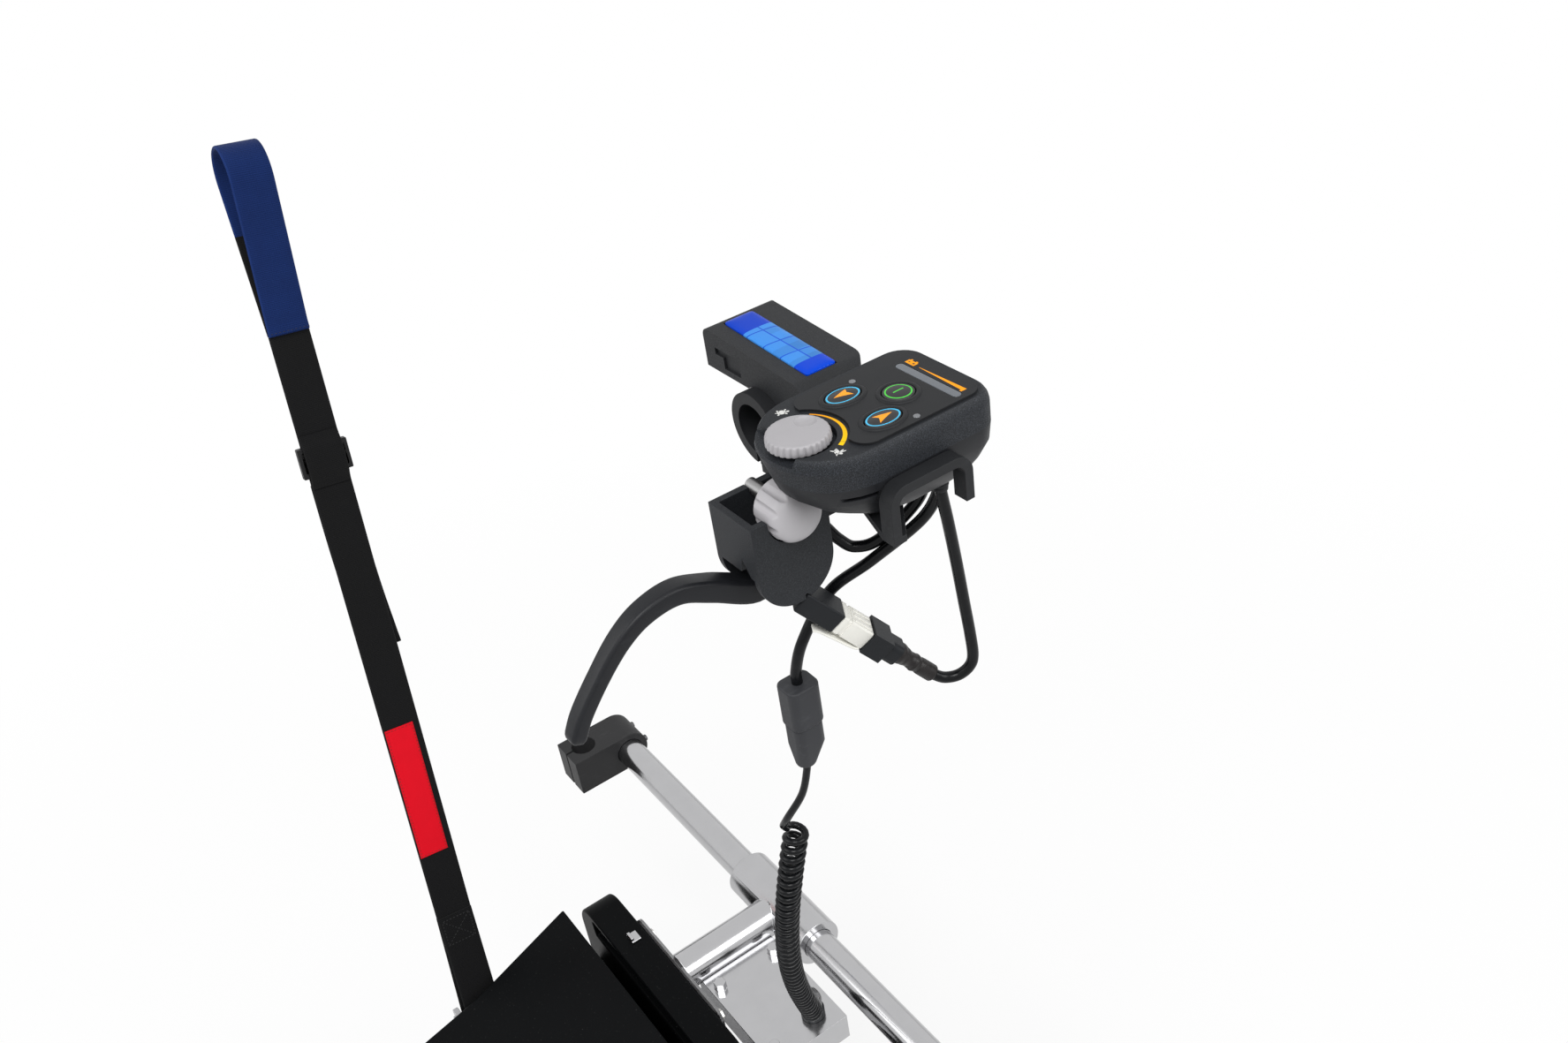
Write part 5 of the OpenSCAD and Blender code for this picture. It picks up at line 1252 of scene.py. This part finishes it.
class ASSIST_OT_lever(bpy.types.Operator):
    """Finishes the lever's housing, draws the curved lever and the hand knob"""
    bl_idname = "assist.lever"
    bl_label = "Lever and hand knob"

    def execute(self, context):
        head = context.scene.assist_head
        housing = look("housing moulding", spark_shell, tone(31, 33, 36), tone(70, 73, 78))
        dress("lever_housing", housing, 0.8, 3)
        self.knob(head)
        dress("lever_pivot_pin", look("bright steel", metal, *BRIGHT), 0.3)
        self.blade()
        self.spring()
        return {"FINISHED"}

    def spring(self):
        """Return spring wound round the lever's pin."""
        start, pitch, r, wire = 33.8, 1.7, 4.4, 0.6
        turns = [2 * math.pi * k / 24 for k in range(85)]
        coil = [Vector((start + pitch * a / (2 * math.pi), LEVER_PIN.y + r * math.cos(a),
                        LEVER_PIN.z + r * math.sin(a))) for a in turns]
        steel = look("spring wire", metal, (0.5, 0.5, 0.5), 0.25)
        fit(tube(coil, wire, 8).piece("lever_spring", steel), "frame", "steel", "return_spring")

    def blade(self):
        """Curved lever that slims towards its rounded tip, with a boss round its pin."""
        path = curve([LEVER_PIN + Vector((0, -d, h)) for d, h in
                      ((0, 0), (13, -5.5), (32, 4), (47, 10), (62, 8), (74, 1), (86, -11), (96, -23),
                       (100.5, -31))], 8)
        rings = []
        for i, p in enumerate(path):
            way, far = heading(path, i), i / (len(path) - 1)
            up = way.cross(RIGHT)
            thick = 9 + 3 * max(0.0, 1 - 3 * far) - 2.0 * min(1.0, max(0.0, 2 * far - 0.5))
            half = 6 - 1.7 * min(1.0, 1.4 * far)
            middle = p + RIGHT * 0.75 * (half - 6)
            section = round_rect(half, thick / 2, 1.9)
            rings.append([middle + RIGHT * q.x + up * q.y for q in section])
        # the tip's sections shrink as they go on from the last one
        for far, share in ((1.5, 0.94), (2.6, 0.8), (3.3, 0.55), (3.6, 0.25)):
            rings.append([middle + way * far + RIGHT * q.x * (0.35 + 0.65 * share) + up * q.y * share
                          for q in section])
        shape = Shape().loft(rings)
        boss = [[LEVER_PIN + Vector((x, p.x, p.y)) for p in circle(r, 40)] for r, x in
                ((3.1, -7.5), (7.0, -7.5), (7.5, -7.0), (7.5, 7.0), (7.0, 7.5), (3.1, 7.5))]
        shape.loft(boss, band=True)
        finish = look("lever moulding", fine_shell, tone(27, 28, 31), 0.4)
        fit(shape.piece("squeeze_lever", finish, 44), "lever", "lever", "throttle_lever")

    def knob(self, head):
        """Hand knob with ten flutes that break out in its dome, on a steel stud."""
        wide, flutes, rings = 11.75, 10, []
        rows = [(3.0, 0), (8.2, 0), (9.6, 0.3), (10.6, 0.8), (11.25, 1.6), (11.6, 2.5), (wide, 3.6)]
        rows += [(wide, 3.6 + 9.4 * k / 10) for k in range(1, 11)]
        rows += [(wide * math.cos(a), 13 + 8 * math.sin(a))
                 for a in (math.pi / 2 * k / 24 for k in range(1, 24))]
        for r, x in rows:
            ring = []
            for a in angles(20 * flutes):
                far = min(r, wide - 1.15 * max(0.0, math.cos(flutes * a + 4.75)) ** 0.8)
                ring.append(Vector((KNOB[0] + x, KNOB[1] + far * math.sin(a), KNOB[2] + far * math.cos(a))))
            rings.append(ring)
        # painted light: the knob takes the dial's grey made 1.25 times lighter, standing for the stronger
        # light on its dome
        grey = look("knob moulding painted lighter", grey_moulding, times(head.dial_grey, 1.25), 0.25)
        fit(Shape().loft(rings).piece("knob_grip", grey, 34), "knob", "knob_grey", "hand_knob")
        stud = [[Vector((x, KNOB[1] + p.x, KNOB[2] + p.y)) for p in circle(r, 28)]
                for r, x in ((2.5, 14.0), (3.0, 14.5), (3.0, KNOB[0] + 0.4))]
        steel = look("stud steel", metal, (0.3, 0.3, 0.3), 0.35)
        fit(Shape().loft(stud).piece("knob_stud", steel), "knob", "steel")


class ASSIST_OT_connectors(bpy.types.Operator):
    """Finishes the plug line under the lever and the junction on the lead"""
    bl_idname = "assist.connectors"
    bl_label = "Connectors"

    def execute(self, context):
        black = look("connector black", fine_shell, tone(22, 24, 27), 0.42)
        dress("sensor_socket cable_plug", black, 0.9, 3)
        grey = look("junction moulding", fine_shell, tone(48, 49, 52), 0.5)
        dress("junction_upper junction_lower", grey, 1.2, 3)
        dress("drive_plug", black, 0.5, 2)
        way = (PLUG_TO - PLUG_FROM).normalized()
        turn = Matrix.Rotation(math.atan2(way.y, way.x), 4, "Z") @ Matrix.Rotation(math.acos(way.z), 4, "Y")
        self.line = Matrix.Translation(PLUG_FROM) @ turn
        self.latch()
        self.sleeve()
        return {"FINISHED"}

    def latch(self):
        """White latch block with ribs on its sides and a sprung arm that ends in a hooked tip."""
        shape = Shape()
        # places along the line and how far the block draws in there
        block = ((20.0, 0.4), (20.4, 0.0), (22.5, 0.0), (22.7, 0.45), (24.2, 0.45), (24.4, 0.0),
                 (35.4, 0.0), (36.0, 0.5))
        shape.loft([moved(round_rect(4.6 - d, 6.1 - d, 0.9, s), self.line) for s, d in block])
        for y in (-3.6, 0.0, 3.6):
            shape.loft([moved([(q.x - 4.65, q.y + y, s) for q in round_rect(0.35, 0.8, 0.3)], self.line)
                        for s in (25.5, 34.5)])
        arm = curve([Vector((x, -3.6, s)) for x, s in
                     ((4.6, 35.2), (5.6, 34.0), (6.2, 30.0), (6.6, 25.0), (7.1, 20.0), (7.5, 16.5),
                      (8.0, 14.6), (8.6, 13.6))], 4)
        rings = []
        for i, p in enumerate(arm):
            t = heading(arm, i)
            out = Vector((t.z, 0, -t.x))
            section = [p + out * q.x + Vector((0, q.y, 0)) for q in round_rect(0.5, 2.4, 0.4)]
            rings.append(moved(section, self.line))
        shape.loft(rings)
        white = look("white nylon", nylon, tone(226, 225, 218))
        fit(shape.piece("latch_block", white, 40), "frame", "plug_white", "latch_connector")

    def sleeve(self):
        """Heat-shrunk sleeve that wrinkles between the plug and the cable."""
        start = 53.0
        long = (PLUG_TO - PLUG_FROM).length - start
        rings, at = [], []
        # shares of its length and the radii there
        waist = ((0, 4.75), (0.08, 4.7), (0.2, 4.1), (0.34, 3.55), (0.42, 3.7), (0.48, 4.05), (0.54, 3.7),
                 (0.58, 3.45), (0.62, 3.75), (0.68, 3.85), (0.97, 3.85), (0.99, 3.7), (1.01, 2.6))
        for k in range(97):
            s = k / 96
            i = next(n for n, (far, _) in enumerate(waist) if far > s)
            (p, low), (q, high) = waist[i - 1], waist[i]
            f = (s - p) / (q - p)
            r = low + (high - low) * f * f * (3 - 2 * f)
            crease = 0.05 * max(0.0, 1 - s / 0.6)
            turn, ring = 0.7 * math.sin(5 * s), []
            for a in angles(40):
                fold = 1 + crease * math.sin(3 * a + 9 * s)
                fine = 0.4 * crease * math.sin(7 * a - 14 * s)
                x, y = r * (fold + fine) * math.cos(a + turn), r * fold * math.sin(a + turn)
                ring.append((x, y, start + long * s))
            rings.append(moved(ring, self.line))
            at.append(long * s)
        finish = look("shrink tube", shrink_tube, tone(24, 22, 22))
        sleeve = Shape().loft(rings, vs=at).piece("shrunk_sleeve", finish, 60)
        fit(sleeve, "frame", "plug_black", "plug_sleeve")


class ASSIST_OT_drive(bpy.types.Operator):
    """Finishes the cross bar, the swing arm, the dock and the drive train"""
    bl_idname = "assist.drive"
    bl_label = "Drive unit"

    def execute(self, context):
        sizes = context.scene.assist_drive
        chrome = look("polished chrome", metal, (0.5, 0.5, 0.51), 0.12, (1, 1, 1), 0.15)
        paint = look("motor paint", fine_shell, tone(34, 35, 37), 0.38)
        dress("cross_bar swing_arm", chrome, 0.6, 2)
        dress("mount_block", chrome, 1.6, 3)
        dress("battery_catch", chrome, 0.7, 3)
        dress("lift_bracket", look("bracket plating", metal, (0.42, 0.42, 0.43), 0.24), 0.3)
        dress("chassis_frame", look("frame plating", metal, (0.42, 0.42, 0.425), 0.28, (1, 1, 5)), 0)
        clamp = look("clamp moulding", fine_shell, tone(40, 40, 41))
        dress("frame_clamp_left frame_clamp_right", clamp, 0.8, 3)
        dress("dock_housing", look("dock moulding", case_moulding, times(sizes.case, 0.8)), 2.4, 4)
        dress("battery_tray", look("tray paint", fine_shell, tone(30, 30, 31), 0.45), 0.8)
        dress("gearbox_case", look("cast alloy", cast_alloy, (0.2, 0.2, 0.205)), 1.0, 3)
        dress("drive_motor", paint, 0.8, 3)
        gears = look("gear steel", metal, (0.5, 0.49, 0.47), 0.3, (1, 1, 1), 0.4)
        dress("motor_pinion axle_gear", gears, 0.15, 1)
        dress("drive_axle", look("bright steel", metal, *BRIGHT), 0.6)
        # the fins share a stretch of the motor, which lies over the axle
        first, span, over = -272.0, 36.0, 60
        rows = [((first + span * (k + 0.5) / sizes.fins, AXLE[0], AXLE[1] + over), RIGHT, (0, 1, 0))
                for k in range(sizes.fins)]
        fit(fin_tree(paint).grow("motor_fins", rows), "drive", "motor")
        self.fasteners(sizes)
        return {"FINISHED"}

    def fasteners(self, sizes):
        """Bolts on the plates and brackets, screws round the gear case, the dock and the clamps."""
        bolts = bolt_tree(look("zinc steel", metal, *ZINC), sizes)
        screws = screw_tree(look("black screws", metal, (0.1, 0.1, 0.105), 0.35), sizes)
        sides, ahead = (-1, 1), (0, 1, 0)
        rows = [((MID_X + s * 50, 9, z), ahead, (1, 0, 0.3)) for s in sides for z in (-605, -730)]
        rows += [((MID_X + s * 36, y, -767), (s, 0, 0), ahead) for s in sides for y in (-105, -45)]
        rows += [((-371, -122 + 14 * s, -741), -RIGHT, (0, 1, 0.4)) for s in sides]
        fit(bolts.grow("drive_bolts", rows), "drive", "steel")
        # the gear case's screws leave out its neck to the motor
        face, r = -292.5, 52.5
        turns = [math.radians(a) for a in range(0, 360, 40) if not 50 < a < 130]
        rows = [((face, AXLE[0] + r * math.cos(a), AXLE[1] + r * math.sin(a)), -RIGHT, ahead)
                for a in turns]
        rows += [((face, AXLE[0] + 14.5 * s, AXLE[1] + 70), -RIGHT, ahead) for s in sides]
        rows += [((MID_X + s * 96, 5, z), ahead, RIGHT) for s in sides for z in (-625, -735)]
        fit(screws.grow("drive_screws", rows), "drive", "steel")
        rows = [((71, y, -8), (0, 0, -1), RIGHT) for y in (20, 28)]
        rows += [((x + s * 12, 124.3, -602), ahead, RIGHT) for x in (0, -525) for s in sides]
        fit(screws.grow("frame_screws", rows), "frame", "steel")


class ASSIST_OT_battery(bpy.types.Operator):
    """Finishes the battery case"""
    bl_idname = "assist.battery"
    bl_label = "Battery"

    def execute(self, context):
        sizes = context.scene.assist_drive
        dress("battery_lid battery_tub", look("battery case", case_moulding, sizes.case), 1.6, 4, 15)
        dress("battery_cells", look("cell wrap", cell_wrap, tone(70, 76, 84)), 1.0)
        return {"FINISHED"}


class ASSIST_OT_wheels(bpy.types.Operator):
    """Finishes the twin wheels and sets their tread"""
    bl_idname = "assist.wheels"
    bl_label = "Wheels"

    def execute(self, context):
        sizes = context.scene.assist_drive
        rubber = look("tyre rubber", tyre_rubber, tone(26, 26, 26))
        rim = look("rim moulding", grey_moulding, tone(150, 151, 153), 0.6)
        dress("wheel_left wheel_right", rim, 0.8, 3)
        dress("tyre_left tyre_right", rubber, 0.15, 1)
        half_track, shoulder, r = 63, 14, 93.6
        rows = []
        for s in (-1, 1):
            for a in angles(sizes.tread):
                for side in (-1, 1):
                    turn = a + side * math.pi / sizes.tread / 2
                    out = Vector((0, math.cos(turn), math.sin(turn)))
                    middle = Vector((MID_X + s * half_track + side * shoulder, *AXLE))
                    rows.append((middle + out * r, out + RIGHT * side * 0.25,
                                 (side, 0.4 * out.z, -0.4 * out.y)))
        fit(tread_tree(rubber).grow("tyre_tread", rows), "wheels", "tyre")
        return {"FINISHED"}


class ASSIST_PT_panel(bpy.types.Panel):
    """Lists the steps and sizes of the power assist"""
    bl_idname = "ASSIST_PT_panel"
    bl_label = "Power assist"
    bl_space_type = "VIEW_3D"
    bl_region_type = "UI"
    bl_category = "Power assist"

    def draw(self, context):
        for step in STEPS:
            self.layout.operator(step.bl_idname)
        for name in SIZES:
            group = getattr(context.scene, name)
            box = self.layout.box()
            for key in group.__annotations__:
                box.prop(group, key)


SIZES = {"assist_stage": StageSizes, "assist_cords": CordSizes, "assist_strap": StrapSizes,
         "assist_head": HeadSizes, "assist_drive": DriveSizes}
STEPS = (ASSIST_OT_stage, ASSIST_OT_connectors, ASSIST_OT_cords, ASSIST_OT_strap, ASSIST_OT_clamp,
         ASSIST_OT_control_head, ASSIST_OT_lever, ASSIST_OT_drive, ASSIST_OT_battery, ASSIST_OT_wheels)
CLASSES = (*SIZES.values(), *STEPS, ASSIST_PT_panel)


def register():
    for cls in CLASSES:
        bpy.utils.register_class(cls)
    for name, group in SIZES.items():
        setattr(bpy.types.Scene, name, bpy.props.PointerProperty(type=group))


def unregister():
    for name in SIZES:
        delattr(bpy.types.Scene, name)
    for cls in reversed(CLASSES):
        bpy.utils.unregister_class(cls)


def main():
    register()
    for step in STEPS:
        name = step.bl_idname.split(".")[1]
        getattr(bpy.ops.assist, name)()
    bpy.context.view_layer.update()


if __name__ == "__main__":
    main()
